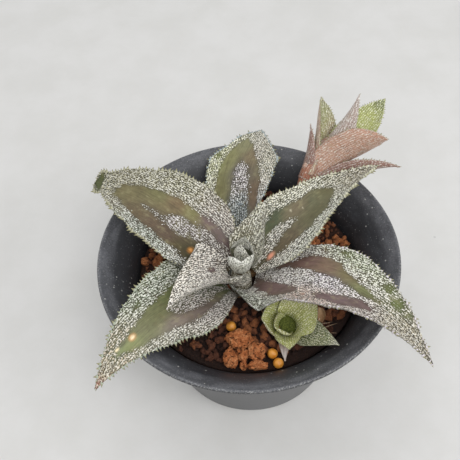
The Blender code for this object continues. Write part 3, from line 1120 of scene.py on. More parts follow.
@dataclass(frozen=True)
class FeedPellet:
    """A round coated pellet with a small dimple."""

    node: str
    variety: float

    def build(self, material: bpy.types.Material) -> None:
        """Fit the pellet in its node's box."""
        low, high = (Vector(corner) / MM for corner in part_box(self.node))
        centre, half = (low + high) / 2, (high - low) / 2
        mesh = bpy.data.meshes.new(self.node.replace("feed_pellet", "coated_pellet"))
        bm = bmesh.new()
        bmesh.ops.create_icosphere(bm, subdivisions=5, radius=1.0)
        shift = Vector((self.variety, 2.0 * self.variety, 0.0))
        for vertex in bm.verts:
            spot = vertex.co.copy()
            size = 0.99 + noise.noise(spot * 1.4 + shift) * 0.04
            dimple = (spot - Vector((0.3, -0.5, 0.8)).normalized()).length
            size -= max(0.32 - dimple, 0.0) ** 2 * 0.8
            vertex.co = (centre + Vector((spot.x * half.x, spot.y * half.y,
                                          spot.z * half.z)) * size) * MM
        bm.to_mesh(mesh)
        bm.free()
        for face in mesh.polygons:
            face.use_smooth = True
        mesh.materials.append(material)
        item = bpy.data.objects.new(mesh.name, mesh)
        bpy.context.scene.collection.objects.link(item)
        publish(item, Slot.FEED, self.node)


# --------------------------------------------------------------------------- leaves


@dataclass(frozen=True)
class Dab:
    """A colour at a share of the length and a side from -1 to 1."""

    share: float
    side: float
    colour: Colour


@dataclass(frozen=True)
class Spot:
    """A mark on a leaf: a place whose scales are worn away, a fleck with a colour of its own, or
    a patch of painted shade.
    """

    share: float
    side: float
    radius: float
    colour: Colour | None = None
    power: float = 1.0
    stretch: float = 1.0


@dataclass(frozen=True)
class Marks:
    """Where a leaf is bare, where it is silver, and its colours.

    Outlines are share and side pairs.  Bare outlines lose their scales, then silver outlines
    get them back.
    """

    bare: tuple[tuple[Point, ...], ...] = ()
    silver: tuple[tuple[Point, ...], ...] = ()
    skin: tuple[Dab, ...] = ()
    scurf: tuple[Dab, ...] = ()
    spots: tuple[Spot, ...] = ()
    cover: float = 0.86
    silver_cover: float = 0.8
    under_cover: float = 0.85
    under_skin: Colour = tint(112, 110, 82)
    soft: float = 0.9


@dataclass(frozen=True)
class Teeth:
    """Margin teeth: pitch and length, and the share of the leaf they start at."""

    pitch: float = 1.5
    length: float = 1.55
    start: float = 0.12
    lean: float = 0.55


@dataclass(frozen=True)
class Blade:
    """One strap leaf on the same rule as its CAD node, with a fine skin and markings.

    Pairs run base to tip: heading from +X, climb above level, twist, and cup, the half angle
    of the cross-section's arc.
    """

    node: str
    heading: Point
    length: float
    width: float
    climb: Point
    twist: Point
    cup: Point
    height: float
    reach: float = 5.0
    base_share: float = 0.3
    widest: float = 0.4
    taper: float = 1.5
    thickness: float = 1.4
    clasp: float = 0.0
    clasp_side: float = -1.0
    clasp_rise: float = 0.28
    clasp_drop: float = 0.0
    lobes: tuple[tuple[float, float, float, float], ...] = ()
    rows: int = 150
    columns: int = 44
    edge: float = 0.45
    ripple: float = 0.35
    scallop: float = 0.03
    variety: float = 0.0
    marks: Marks = field(default_factory=Marks)
    teeth: Teeth | None = field(default_factory=Teeth)

    blunt: float = 0.0

    TIP_WIDTH = 0.5
    BLUNT_FROM = 0.94

    def half_width(self, share: np.ndarray) -> np.ndarray:
        """Half of the leaf's width at shares of its length."""
        near = np.clip(share / self.widest, 0.0, 1.0)
        swell = np.sin(near * math.pi / 2) ** 1.2
        far = np.clip((share - self.widest) / (1.0 - self.widest), 0.0, 1.0)
        part = np.where(share < self.widest,
                        self.base_share + (1.0 - self.base_share) * swell,
                        1.0 - far ** self.taper)
        last = np.clip((share - self.BLUNT_FROM) / (1.0 - self.BLUNT_FROM), 0.0, 1.0)
        end = self.blunt * np.sqrt(1.0 - last ** 2) * ease((share - 0.7) / 0.2)
        return np.maximum(np.maximum(part * self.width, end), self.TIP_WIDTH) / 2

    def skin(self, rows: int, columns: int) -> dict[str, np.ndarray]:
        """Lay out the face of the leaf as a grid.

        Args:
            rows, columns: Cells along and across.

        Returns:
            Arrays of points, outward directions, along directions, shares, sides and half
            widths.
        """
        share = np.linspace(0.0, 1.0, rows + 1)
        side = np.linspace(-1.0, 1.0, columns + 1)
        heading = np.radians(self.heading[0] + (self.heading[1] - self.heading[0]) * share)
        climb = np.radians(self.climb[0] + (self.climb[1] - self.climb[0]) * share)
        roll = np.radians(self.twist[0] + (self.twist[1] - self.twist[0]) * share)[:, None]
        along = np.stack([np.cos(climb) * np.cos(heading), np.cos(climb) * np.sin(heading),
                          np.sin(climb)], 1)
        steps = (along[1:] + along[:-1]) / 2 * (self.length / rows)
        start = np.array([self.reach * math.cos(heading[0]), self.reach * math.sin(heading[0]),
                          self.height])
        middle = np.vstack([start, start + np.cumsum(steps, 0)])
        flat = np.stack([-np.sin(heading), np.cos(heading), np.zeros_like(heading)], 1)
        face = np.cross(along, flat)
        across = flat * np.cos(roll) + face * np.sin(roll)
        out = face * np.cos(roll) - flat * np.sin(roll)
        width = self.half_width(share)
        cup = np.radians(np.maximum(self.cup[0] + (self.cup[1] - self.cup[0])
                                    * ease(share / 0.6), 1.0))
        wave = self.scalloped(share, side)
        arc = cup[:, None] * side[None, :]
        bent = (width[:, None] * wave / cup[:, None])
        points = (middle[:, None, :] + across[:, None, :] * (bent * np.sin(arc))[..., None]
                  + out[:, None, :] * (bent * (1.0 - np.cos(arc)))[..., None])
        rise = self.rippled(share, side)
        points = points + out[:, None, :] * rise[..., None]
        if self.clasp > 0.0:
            hold = np.where(share < self.clasp, 1.0 - ease(share / self.clasp), 0.0)
            hold = hold[:, None] * (side[None, :] * self.clasp_side > 0.0)
            run = width[:, None] * side[None, :]
            bearing = heading[0] + run / self.reach
            held = np.stack([self.reach * np.cos(bearing), self.reach * np.sin(bearing),
                             self.height - self.clasp_drop
                             + self.clasp_rise * np.abs(run)], -1)
            points = points + (held - points) * hold[..., None]
        return {"points": points, "out": out, "along": along,
                "share": share, "side": side, "width": width}

    def scalloped(self, share: np.ndarray, side: np.ndarray) -> np.ndarray:
        """Small uneven swell of the margins, as a factor on the width."""
        grow = np.zeros((len(share), 2))
        for row, at in enumerate(share):
            for column, sign in enumerate((-1.0, 1.0)):
                spot = Vector((at * self.length * 0.16, sign * 5.0, self.variety))
                fine = Vector((at * self.length * 0.6, sign * 9.0, self.variety))
                grow[row, column] = noise.noise(spot) + noise.noise(fine) * 0.45
        pick = (side > 0).astype(int)
        room = ease((share - 0.15) / 0.2)[:, None] * ease((1.0 - share) / 0.08)[:, None]
        wave = 1.0 + grow[:, pick] * self.scallop * np.abs(side)[None, :] ** 2 * room * 2.0
        for at, sign, spread, amount in self.lobes:
            near = np.exp(-((share - at) / spread) ** 2)[:, None]
            wave = wave + near * amount * ease(side * sign)[None, :]
        return wave

    def rippled(self, share: np.ndarray, side: np.ndarray) -> np.ndarray:
        """How far the blade waves out of its plane near its margins, in millimetres."""
        rise = np.zeros((len(share), len(side)))
        for row, at in enumerate(share):
            for column, where in enumerate(side):
                spot = Vector((at * self.length * 0.09, where * 1.6, self.variety + 4.0))
                rise[row, column] = noise.noise(spot)
        room = ease((share - 0.25) / 0.25)[:, None]
        return rise * self.ripple * 2.2 * (0.25 + np.abs(side)[None, :] ** 2) * room

    def build(self, place: Matrix, material: bpy.types.Material) -> bpy.types.Object:
        """Make the leaf as a closed shell with its markings.

        Args:
            place: The rosette's frame, in millimetres.
            material: Its finish.

        Returns:
            The leaf.
        """
        rows, columns = self.rows, self.columns
        grid = self.skin(rows, columns)
        top = grid["points"]
        normal = self.normals(top, grid["out"])
        rim = np.abs(grid["side"])[None, :] ** 2.2
        tip = ease((1.0 - grid["share"]) / 0.3)[:, None]
        thick = self.edge + (self.thickness * 0.92 - self.edge) * (1.0 - rim)
        thick = np.minimum(thick * (0.35 + 0.65 * tip), 0.6 * grid["width"][:, None] + 0.15)
        keel = top - normal * thick[..., None]
        span = columns + 1
        points = np.concatenate([top.reshape(-1, 3), keel.reshape(-1, 3)])
        turn = np.array(place.to_3x3())
        points = points @ turn.T + np.array(place.translation)
        item = add_mesh(self.node.replace("leaf", "blade"), points,
                        self.shell_faces(rows, columns), material)
        count = (rows + 1) * span
        metric = np.zeros((rows + 1, span, 3))
        metric[..., 0] = grid["side"][None, :] * grid["width"][:, None]
        metric[..., 1] = grid["share"][:, None] * self.length
        metric[..., 2] = self.variety * 7.0
        under = metric.copy()
        under[..., 0] += 31.0
        write(item, "metric", "FLOAT_VECTOR", np.concatenate([metric, under]))
        cover, skin, scurf = self.markings(grid, metric)
        low = np.full((rows + 1, span), self.marks.under_cover)
        low_skin = np.tile(np.array(self.marks.under_skin), (count, 1))
        write(item, "cover", "FLOAT", np.concatenate([cover.ravel(), low.ravel()]))
        write(item, "skin", "FLOAT_COLOR", np.concatenate([skin.reshape(-1, 4), low_skin]))
        write(item, "scurf", "FLOAT_COLOR", np.tile(scurf.reshape(-1, 4), (2, 1)))
        return item

    @staticmethod
    def normals(top: np.ndarray, out: np.ndarray) -> np.ndarray:
        """Unit normals of a grid of points, on the side that out points to."""
        run = np.gradient(top, axis=0)
        cross = np.gradient(top, axis=1)
        normal = np.cross(run, cross)
        size = np.linalg.norm(normal, axis=2, keepdims=True)
        normal = normal / np.maximum(size, 1e-9)
        sign = np.sign((normal * out[:, None, :]).sum(2, keepdims=True))
        middle = np.sign(sign.sum()) or 1.0
        return normal * middle

    @staticmethod
    def shell_faces(rows: int, columns: int) -> list[tuple[int, int, int, int]]:
        """Faces of the top, the underside and the margin between them."""
        span = columns + 1
        under = (rows + 1) * span
        faces = []
        for row in range(rows):
            for column in range(columns):
                a = row * span + column
                faces.append((a, a + 1, a + span + 1, a + span))
                faces.append((under + a, under + a + span, under + a + span + 1, under + a + 1))
        ring = list(range(columns))
        ring += [row * span + columns for row in range(rows)]
        ring += [rows * span + column for column in range(columns, 0, -1)]
        ring += [row * span for row in range(rows, 0, -1)]
        for a, b in zip(ring, ring[1:] + ring[:1]):
            faces.append((a, under + a, under + b, b))
        return faces

    def markings(self, grid: dict[str, np.ndarray], metric: np.ndarray
                 ) -> tuple[np.ndarray, np.ndarray, np.ndarray]:
        """Cover, skin colour and scurf colour over the leaf's face.

        Args:
            grid: The leaf's layout.
            metric: Millimetres across and along at each point.

        Returns:
            The three arrays.
        """
        marks = self.marks
        flat = metric[..., :2].reshape(-1, 2)
        shape = metric.shape[:2]
        stray = np.array([noise.noise(Vector((x * 0.5, y * 0.22, self.variety + 9.0)))
                          for x, y in flat]) * 0.9
        cover = np.full(len(flat), marks.cover)
        for outline in marks.bare:
            inside = self.depth(flat, outline) + stray
            cover *= 1.0 - ease(inside / marks.soft / 2 + 0.5)
        for outline in marks.silver:
            inside = self.depth(flat, outline) + stray
            again = ease(inside / marks.soft / 2.6 + 0.5) * marks.silver_cover
            cover = np.maximum(cover, again)
        skin = self.dabbed(flat, marks.skin, marks.under_skin)
        scurf = self.dabbed(flat, marks.scurf, tint(200, 198, 180))
        for spot in marks.spots:
            width = float(self.half_width(np.array([spot.share]))[0])
            centre = np.array([spot.side * width, spot.share * self.length])
            gap = (flat - centre) / np.array([1.0, spot.stretch])
            away = np.linalg.norm(gap, axis=1) + (stray * 0.9 if spot.colour is None else 0.0)
            share = ease(1.35 - away / spot.radius) * spot.power
            cover *= 1.0 - share
            if spot.colour is not None:
                skin += (np.array(spot.colour) - skin) * share[:, None]
        return cover.reshape(shape), skin.reshape(*shape, 4), scurf.reshape(*shape, 4)

    def depth(self, flat: np.ndarray, outline: Sequence[Point]) -> np.ndarray:
        """How far points lie inside an outline, in millimetres, negative outside."""
        share = np.array([p[0] for p in outline])
        side = np.array([p[1] for p in outline])
        corners = np.stack([side * self.half_width(share), share * self.length], 1)
        best = np.full(len(flat), 1e9)
        inside = np.zeros(len(flat), bool)
        for a, b in zip(corners, np.roll(corners, -1, 0)):
            run = b - a
            reach = max(float(run @ run), 1e-9)
            t = np.clip(((flat - a) @ run) / reach, 0.0, 1.0)
            best = np.minimum(best, np.linalg.norm(flat - a - t[:, None] * run, axis=1))
            crosses = (a[1] > flat[:, 1]) != (b[1] > flat[:, 1])
            rise = b[1] - a[1] if abs(b[1] - a[1]) > 1e-9 else 1e-9
            inside ^= crosses & (flat[:, 0] < a[0] + (flat[:, 1] - a[1]) / rise * run[0])
        return np.where(inside, best, -best)

    def dabbed(self, flat: np.ndarray, dabs: Sequence[Dab], plain_colour: Colour) -> np.ndarray:
        """Spread a few dabs of colour over the leaf."""
        if not dabs:
            return np.tile(np.array(plain_colour), (len(flat), 1))
        total = np.zeros((len(flat), 4))
        weight = np.zeros(len(flat))
        for dab in dabs:
            width = float(self.half_width(np.array([dab.share]))[0])
            centre = np.array([dab.side * width, dab.share * self.length])
            gap = (flat - centre) * np.array([1.0, 0.55])
            near = 1.0 / ((gap ** 2).sum(1) + 1.5) ** 1.6
            total += near[:, None] * np.array(dab.colour)
            weight += near
        return total / weight[:, None]

    def margin(self, place: Matrix) -> tuple[np.ndarray, np.ndarray, np.ndarray]:
        """The two margins as points with the way their teeth aim.

        Args:
            place: The rosette's frame, in millimetres.

        Returns:
            Points, aims and sizes, each for the two margins.
        """
        grid = self.skin(self.rows, self.columns)
        turn = np.array(place.to_3x3())
        lines, aims, sizes = [], [], []
        keep = grid["share"] >= self.teeth.start
        for column, inner in ((0, 2), (-1, -3)):
            edge = grid["points"][:, column]
            away = edge - grid["points"][:, inner]
            away /= np.maximum(np.linalg.norm(away, axis=1, keepdims=True), 1e-9)
            last = ease((grid["share"] - 0.93) / 0.06)[:, None]
            aim = away * (1.0 - last) + grid["along"] * (self.teeth.lean + last * 2.0)
            aim /= np.linalg.norm(aim, axis=1, keepdims=True)
            spot = edge - away * 0.15 - grid["out"] * self.edge * 0.4
            lines.append((spot @ turn.T + np.array(place.translation))[keep])
            aims.append((aim @ turn.T)[keep])
            share = grid["share"][keep]
            grow = 0.55 + 0.45 * ease((share - 0.1) / 0.35) - 0.35 * ease((share - 0.97) / 0.03)
            sizes.append(self.teeth.length * grow)
        return np.array(lines), np.array(aims), np.array(sizes)


class Toothing:
    """Hooked teeth set along leaf margins, one piece for each rosette."""

    def __init__(self, material: bpy.types.Material) -> None:
        """Keep the finish and build the tree."""
        self.material = material
        self.tree = self.recipe()

    @staticmethod
    def tooth() -> bpy.types.Object:
        """A small hooked cone one millimetre long."""
        rings = ((0.0, 0.46, 0.0), (0.22, 0.31, 0.02), (0.5, 0.18, 0.06), (0.78, 0.08, 0.13))
        sides = 6
        points: list[tuple[float, float, float]] = []
        for height, radius, shift in rings:
            for step in range(sides):
                turn = 2.0 * math.pi * step / sides
                points.append((radius * math.cos(turn) + shift, radius * math.sin(turn), height))
        points += [(0.21, 0.0, 1.0), (0.0, 0.0, -0.1)]
        faces: list[tuple[int, ...]] = []
        for ring in range(len(rings) - 1):
            for step in range(sides):
                after = (step + 1) % sides
                near, far = ring * sides, (ring + 1) * sides
                faces.append((near + step, near + after, far + after, far + step))
        last = (len(rings) - 1) * sides
        for step in range(sides):
            after = (step + 1) % sides
            faces.append((last + step, last + after, len(points) - 2))
            faces.append((after, step, len(points) - 1))
        item = add_mesh("tooth_shape", points, faces)
        write(item, "point", "FLOAT", [max(z, 0.0) for _, _, z in points])
        return item

    @staticmethod
    def recipe() -> Recipe:
        """Teeth at an even pitch along curves, with uneven sizes."""
        tree = Recipe("margin_teeth")
        tooth, pitch = tree.dial("Tooth", "Object"), tree.dial("Pitch", "Float")
        seed, finish = tree.dial("Seed", "Int"), tree.dial("Finish", "Material")
        line = tree.node("GeometryNodeMeshToCurve", {},
                         {"Mesh": tree.source.outputs["Geometry"]})
        spaced = tree.node("GeometryNodeResampleCurve", {"mode": "LENGTH"},
                           {"Curve": line.outputs[0], "Length": pitch})
        shape = tree.node("GeometryNodeObjectInfo", {}, {"Object": tooth})
        aim = tree.named("aim", "FLOAT_VECTOR")
        jitter = tree.node("FunctionNodeRandomValue", {"data_type": "FLOAT_VECTOR"},
                           {0: (-0.28, -0.28, -0.28), 1: (0.28, 0.28, 0.28), "Seed": seed})
        bent = tree.node("ShaderNodeVectorMath", {"operation": "ADD"},
                         {0: aim, 1: jitter.outputs[0]})
        turn = tree.node("FunctionNodeAlignRotationToVector", {"axis": "Z"},
                         {"Vector": bent.outputs[0]})
        size = tree.product(tree.named("size"), tree.chance(0.35, 1.3, seed))
        laid = tree.node("GeometryNodeInstanceOnPoints", {},
                         {"Points": spaced.outputs[0], "Instance": shape.outputs["Geometry"],
                          "Rotation": turn.outputs[0], "Scale": size})
        tree.close(laid.outputs[0], finish)
        return tree

    def set_teeth(self, name: str, blades: Sequence[Blade], place: Matrix, seed: int
                  ) -> bpy.types.Object:
        """Make one rosette's teeth.

        Args:
            name: The piece's name.
            blades: Its leaves.
            place: The rosette's frame, in millimetres.
            seed: Seed for their sizes.

        Returns:
            The piece.
        """
        points, edges, aims, sizes, scurfs = [], [], [], [], []
        for blade in blades:
            if blade.teeth is None:
                continue
            lines, ways, lengths = blade.margin(place)
            colour = tuple(0.8 * part for part in blade.marks.scurf[0].colour[:3]) + (1.0,)
            for line, way, length in zip(lines, ways, lengths):
                first = len(points)
                points += line.tolist()
                aims += way.tolist()
                sizes += length.tolist()
                scurfs += [colour] * len(line)
                edges += [(first + k, first + k + 1) for k in range(len(line) - 1)]
        source = add_mesh("tooth_lines", points, [], closed=False, edges=edges)
        write(source, "aim", "FLOAT_VECTOR", aims)
        write(source, "size", "FLOAT", sizes)
        write(source, "scurf", "FLOAT_COLOR", scurfs)
        tooth = self.tooth()
        pitch = next(blade.teeth.pitch for blade in blades if blade.teeth)
        made = self.tree.apply(source, name, Tooth=tooth, Pitch=pitch * MM, Seed=seed,
                               Finish=self.material)
        bpy.data.objects.remove(tooth)
        return made


class Scaling:
    """Loose pale scales over the coated parts of leaves, one piece for each rosette."""

    def __init__(self, material: bpy.types.Material) -> None:
        """Keep the finish and build the tree."""
        self.material = material
        self.tree = self.recipe()

    @staticmethod
    def flake() -> bpy.types.Object:
        """A six-sided scale one millimetre across with a raised middle."""
        points = [(0.0, 0.0, 0.12)]
        for step in range(6):
            turn = math.pi * step / 3
            reach = 0.5 if step % 2 else 0.42
            points.append((reach * math.cos(turn), reach * math.sin(turn) * 0.8, 0.02))
        faces = [(0, 1 + step, 1 + (step + 1) % 6) for step in range(6)]
        return add_mesh("flake_shape", points, faces, closed=False)

    @staticmethod
    def in_rows(leaf: bpy.types.Object, cover: np.ndarray, half: int) -> list[float]:
        """How thickly scales lie, gathered in rows along the leaf."""
        metric = np.zeros(len(leaf.data.vertices) * 3, np.float32)
        leaf.data.attributes["metric"].data.foreach_get("vector", metric)
        spots = metric.reshape(-1, 3)[:half]
        rows = np.array([noise.noise(Vector((x * 1.15, y * 0.13, z))) for x, y, z in spots])
        return (cover ** 1.6 * np.clip(0.85 + rows * 1.5, 0.15, 1.8)).tolist()

    @staticmethod
    def recipe() -> Recipe:
        """Scales scattered where the cover is, lying on the skin with a little tilt."""
        tree = Recipe("scale_scatter")
        flake, density = tree.dial("Flake", "Object"), tree.dial("Density", "Float")
        least, most = tree.dial("Least", "Float"), tree.dial("Most", "Float")
        seed, finish = tree.dial("Seed", "Int"), tree.dial("Finish", "Material")
        amount = tree.product(tree.named("flaking"), density)
        spread = tree.node("GeometryNodeDistributePointsOnFaces",
                           {"distribute_method": "RANDOM"},
                           {"Mesh": tree.source.outputs["Geometry"], "Density": amount,
                            "Seed": seed})
        shape = tree.node("GeometryNodeObjectInfo", {}, {"Object": flake})
        spin = tree.node("FunctionNodeRandomValue", {"data_type": "FLOAT_VECTOR"},
                         {0: (-0.3, -0.3, -3.14), 1: (0.3, 0.3, 3.14), "Seed": seed})
        tilt = tree.node("FunctionNodeEulerToRotation", {}, {0: spin.outputs[0]})
        turn = tree.node("FunctionNodeRotateRotation", {"rotation_space": "LOCAL"},
                         {0: spread.outputs["Rotation"], 1: tilt.outputs[0]})
        size = tree.node("FunctionNodeRandomValue", {"data_type": "FLOAT"},
                         {2: least, 3: most, "Seed": seed})
        laid = tree.node("GeometryNodeInstanceOnPoints", {},
                         {"Points": spread.outputs["Points"],
                          "Instance": shape.outputs["Geometry"],
                          "Rotation": turn.outputs[0], "Scale": size.outputs[1]})
        tree.close(laid.outputs[0], finish)
        return tree

    def scatter(self, name: str, leaves: Sequence[bpy.types.Object], density: float,
                least: float, most: float, seed: int) -> bpy.types.Object:
        """Scatter scales over the faces of finished leaves.

        Args:
            name: The piece's name.
            leaves: Leaves with cover and scurf.
            density: Scales to a square millimetre at full cover.
            least, most: Their sizes, in millimetres.
            seed: Seed of the scatter.

        Returns:
            The piece.
        """
        points, faces, cover, scurf = [], [], [], []
        for leaf in leaves:
            mesh = leaf.data
            half = len(mesh.vertices) // 2
            base = len(points)
            values = np.zeros(len(mesh.vertices), np.float32)
            mesh.attributes["cover"].data.foreach_get("value", values)
            colours = np.zeros(len(mesh.vertices) * 4, np.float32)
            mesh.attributes["scurf"].data.foreach_get("color", colours)
            points += [tuple(mesh.vertices[k].co / MM) for k in range(half)]
            cover += self.in_rows(leaf, values[:half], half)
            scurf += colours.reshape(-1, 4)[:half].tolist()
            for face in mesh.polygons:
                corners = tuple(face.vertices)
                if max(corners) < half:
                    faces.append(tuple(corner + base for corner in corners))
        source = add_mesh("scale_field", points, faces, closed=False)
        write(source, "flaking", "FLOAT", cover)
        write(source, "scurf", "FLOAT_COLOR", scurf)
        flake = self.flake()
        made = self.tree.apply(source, name, Flake=flake, Density=density / MM ** 2,
                               Least=least, Most=most, Seed=seed, Finish=self.material)
        bpy.data.objects.remove(flake)
        return made


@dataclass(frozen=True)
class Rosette:
    """Where a rosette's axis starts, the bearing it leans towards and by how much."""

    name: str
    origin: tuple[float, float, float]
    blades: tuple[Blade, ...]
    slot: Slot
    finish: LeafFinish
    lean_heading: float = 0.0
    lean: float = 0.0
    flakes: float = 1.3
    flake_sizes: Point = (0.34, 0.72)
    seed: int = 1

    def place(self) -> Matrix:
        """The rosette's own frame, in millimetres."""
        turn = Matrix.Rotation(math.radians(self.lean_heading), 4, "Z")
        tilt = Matrix.Rotation(math.radians(self.lean), 4, "Y")
        return Matrix.Translation(Vector(self.origin)) @ turn @ tilt

    def build(self, toothing: Toothing, scaling: Scaling) -> None:
        """Make the leaves, their teeth and their loose scales."""
        material = self.finish.material()
        leaves = [blade.build(self.place(), material) for blade in self.blades]
        scales = scaling.scatter(f"{self.name}_scales", leaves, self.flakes,
                                 *self.flake_sizes, self.seed)
        teeth = toothing.set_teeth(f"{self.name}_teeth", self.blades, self.place(), self.seed)
        for blade, leaf in zip(self.blades, leaves):
            publish(leaf, self.slot, blade.node)
        publish(scales, self.slot)
        publish(teeth, self.slot)


LEFT_LOW = Marks(
    bare=(((0.25, -0.55), (0.3, -0.45), (0.35, -0.45), (0.42, -0.38), (0.49, -0.32),
           (0.56, -0.3), (0.61, -0.25), (0.66, -0.2), (0.7, -0.17), (0.74, -0.13),
           (0.77, -0.08), (0.81, 0.05), (0.78, 0.23), (0.74, 0.48), (0.68, 0.58),
           (0.63, 0.58), (0.58, 0.6), (0.52, 0.6), (0.46, 0.6), (0.39, 0.62),
           (0.32, 0.58), (0.24, 0.53), (0.18, 0.5), (0.07, 0.3), (0.0, 0.1),
           (0.0, -0.3), (0.12, -0.55)),),
    silver=(((0.45, 0.1), (0.43, 0.25), (0.38, 0.32), (0.31, 0.32), (0.25, 0.35),
             (0.18, 0.28), (0.09, 0.1), (0.0, 0.0), (0.0, -0.25), (0.2, -0.3),
             (0.35, -0.15)),),
    skin=(Dab(0.55, -0.03, tint(104, 106, 70)), Dab(0.63, 0.02, tint(112, 112, 78)),
          Dab(0.42, -0.3, tint(100, 106, 66)), Dab(0.44, 0.5, tint(128, 115, 106)),
          Dab(0.3, 0.5, tint(115, 102, 96)), Dab(0.71, 0.23, tint(128, 134, 84)),
          Dab(0.2, -0.4, tint(90, 105, 60)), Dab(0.8, 0.0, tint(130, 140, 95)),
          Dab(0.5, -0.85, tint(82, 98, 58)), Dab(0.5, 0.88, tint(108, 108, 82)),
          Dab(0.9, 0.0, tint(124, 112, 84)), Dab(1.0, 0.0, tint(196, 120, 92))),
    scurf=(Dab(0.5, -0.8, tint(192, 200, 180)), Dab(0.3, 0.2, tint(204, 194, 190)),
           Dab(0.6, 0.85, tint(200, 196, 178)), Dab(0.9, 0.0, tint(188, 178, 150)),
           Dab(1.0, 0.0, tint(214, 150, 120))),
    spots=(Spot(0.69, 0.02, 1.3, tint(214, 150, 84), 0.9, 1.3),
           Spot(0.69, 0.02, 0.75, tint(252, 232, 190), 1.0, 1.5),
           Spot(0.785, -0.18, 0.7, tint(250, 232, 190), 1.0, 1.7),
           Spot(0.57, -0.65, 1.6, None, 0.58, 1.4)),
)
LEFT_HIGH = Marks(
    bare=(((0.82, 0.5), (0.81, 0.2), (0.79, -0.03), (0.73, -0.2), (0.66, -0.27),
           (0.59, -0.3), (0.52, -0.35), (0.45, -0.38), (0.4, -0.42), (0.35, -0.4),
           (0.3, -0.43), (0.26, -0.47), (0.2, -0.52), (0.12, -0.6), (0.0, -0.5),
           (0.0, 0.6), (0.1, 0.75), (0.17, 0.8), (0.24, 0.7), (0.28, 0.63),
           (0.33, 0.65), (0.38, 0.68), (0.44, 0.67), (0.5, 0.67), (0.58, 0.65),
           (0.65, 0.6), (0.74, 0.52)),
          ((0.94, -1.0), (1.0, -1.0), (1.0, 1.0), (0.94, 1.0))),
    silver=(((0.61, 0.22), (0.55, 0.18), (0.49, 0.15), (0.45, 0.1), (0.41, -0.05),
             (0.37, -0.12), (0.34, -0.12), (0.3, -0.1), (0.27, -0.2), (0.24, -0.22),
             (0.19, -0.28), (0.1, -0.45), (0.0, -0.3), (0.0, 0.2), (0.15, 0.15),
             (0.22, 0.17), (0.27, 0.23), (0.31, 0.3), (0.36, 0.33), (0.4, 0.35),
             (0.46, 0.33), (0.53, 0.28), (0.59, 0.25)),),
    skin=(Dab(0.71, 0.02, tint(120, 112, 78)), Dab(0.55, -0.27, tint(118, 115, 76)),
          Dab(0.45, -0.27, tint(122, 102, 74)), Dab(0.34, -0.3, tint(122, 118, 72)),
          Dab(0.27, -0.38, tint(106, 84, 82)), Dab(0.48, 0.53, tint(100, 82, 64)),
          # The dabs at shares 0.27 and 0.18 near side 0.55 are painted shade in the hollow by
          # the base.
          Dab(0.38, 0.5, tint(92, 74, 60)), Dab(0.27, 0.55, tint(76, 66, 38)),
          Dab(0.18, 0.6, tint(62, 58, 26)), Dab(0.13, -0.5, tint(100, 80, 78)),
          Dab(0.6, 0.5, tint(106, 92, 68)), Dab(0.97, 0.0, tint(80, 88, 46)),
          Dab(0.5, -0.85, tint(116, 112, 78)), Dab(0.5, 0.9, tint(105, 110, 84))),
    scurf=(Dab(0.5, -0.7, tint(203, 200, 172)), Dab(0.35, 0.1, tint(208, 200, 202)),
           Dab(0.5, 0.9, tint(190, 198, 184)), Dab(0.85, 0.0, tint(196, 190, 160)),
           Dab(0.2, -0.7, tint(206, 196, 184))),
    # Painted shade: a dark olive patch in the hollow near the base, by the pellet.
    spots=(Spot(0.2, 0.52, 3.4, tint(56, 52, 24), 0.8, 1.5),
           Spot(0.22, 0.45, 1.5, tint(196, 130, 48), 0.9),
           Spot(0.22, 0.45, 0.8, tint(232, 160, 84)),
           Spot(0.205, 0.34, 0.8, tint(180, 150, 84), 0.9)),
    silver_cover=0.74,
)
RIGHT_LOW = Marks(
    bare=(((0.12, 0.36), (0.14, 0.6), (0.2, 0.5), (0.23, 0.58), (0.28, 0.68), (0.32, 0.68),
           (0.37, 0.68), (0.42, 0.58), (0.46, 0.45), (0.51, 0.35), (0.56, 0.28),
           (0.6, 0.27), (0.64, 0.23), (0.67, 0.22), (0.64, 0.1), (0.59, 0.07),
           (0.54, 0.08), (0.5, 0.12), (0.45, 0.17), (0.42, 0.2), (0.38, 0.22),
           (0.33, 0.23), (0.27, 0.3), (0.2, 0.33)),
          ((0.0, 0.15), (0.03, 0.12), (0.11, -0.08), (0.19, -0.25), (0.29, -0.37),
           (0.29, -0.55), (0.26, -0.63), (0.2, -0.68), (0.13, -0.57), (0.09, -0.33),
           (0.02, 0.0)),
          ((0.37, -0.43), (0.41, -0.43), (0.47, -0.32), (0.52, -0.25), (0.57, -0.17),
           (0.61, -0.15), (0.65, -0.18), (0.66, -0.42), (0.62, -0.53), (0.58, -0.62),
           (0.54, -0.72), (0.47, -0.62), (0.42, -0.65))),
    skin=(Dab(0.28, 0.52, tint(118, 92, 86)), Dab(0.37, 0.42, tint(126, 102, 84)),
          Dab(0.48, 0.38, tint(120, 110, 76)), Dab(0.58, 0.23, tint(116, 120, 78)),
          Dab(0.15, -0.35, tint(122, 98, 96)), Dab(0.5, -0.45, tint(118, 96, 98)),
          Dab(0.62, -0.3, tint(114, 92, 92)), Dab(0.5, 0.85, tint(106, 120, 68)),
          Dab(0.7, 0.6, tint(112, 124, 66)), Dab(0.9, 0.0, tint(120, 112, 94)),
          Dab(0.4, 0.05, tint(104, 90, 96)), Dab(0.8, -0.5, tint(116, 110, 90)),
          Dab(0.1, -0.9, tint(110, 112, 84))),
    scurf=(Dab(0.4, 0.07, tint(248, 240, 246)), Dab(0.25, 0.05, tint(250, 246, 242)),
           Dab(0.5, 0.85, tint(227, 233, 206)), Dab(0.1, -0.95, tint(216, 222, 208)),
           Dab(0.87, 0.2, tint(191, 181, 158)), Dab(0.34, -0.58, tint(244, 216, 200))),
    spots=(Spot(0.66, 0.8, 1.6, None, 0.60, 1.6), Spot(0.72, 0.62, 2.2, None, 0.60, 1.3),
           Spot(0.79, 0.7, 1.4, None, 0.58, 1.5), Spot(0.44, 0.86, 1.3, None, 0.58, 1.8),
           Spot(0.34, -0.6, 0.9, tint(232, 190, 170), 0.8, 1.5),
           Spot(0.34, 0.84, 1.4, None, 0.50, 1.2)),
)
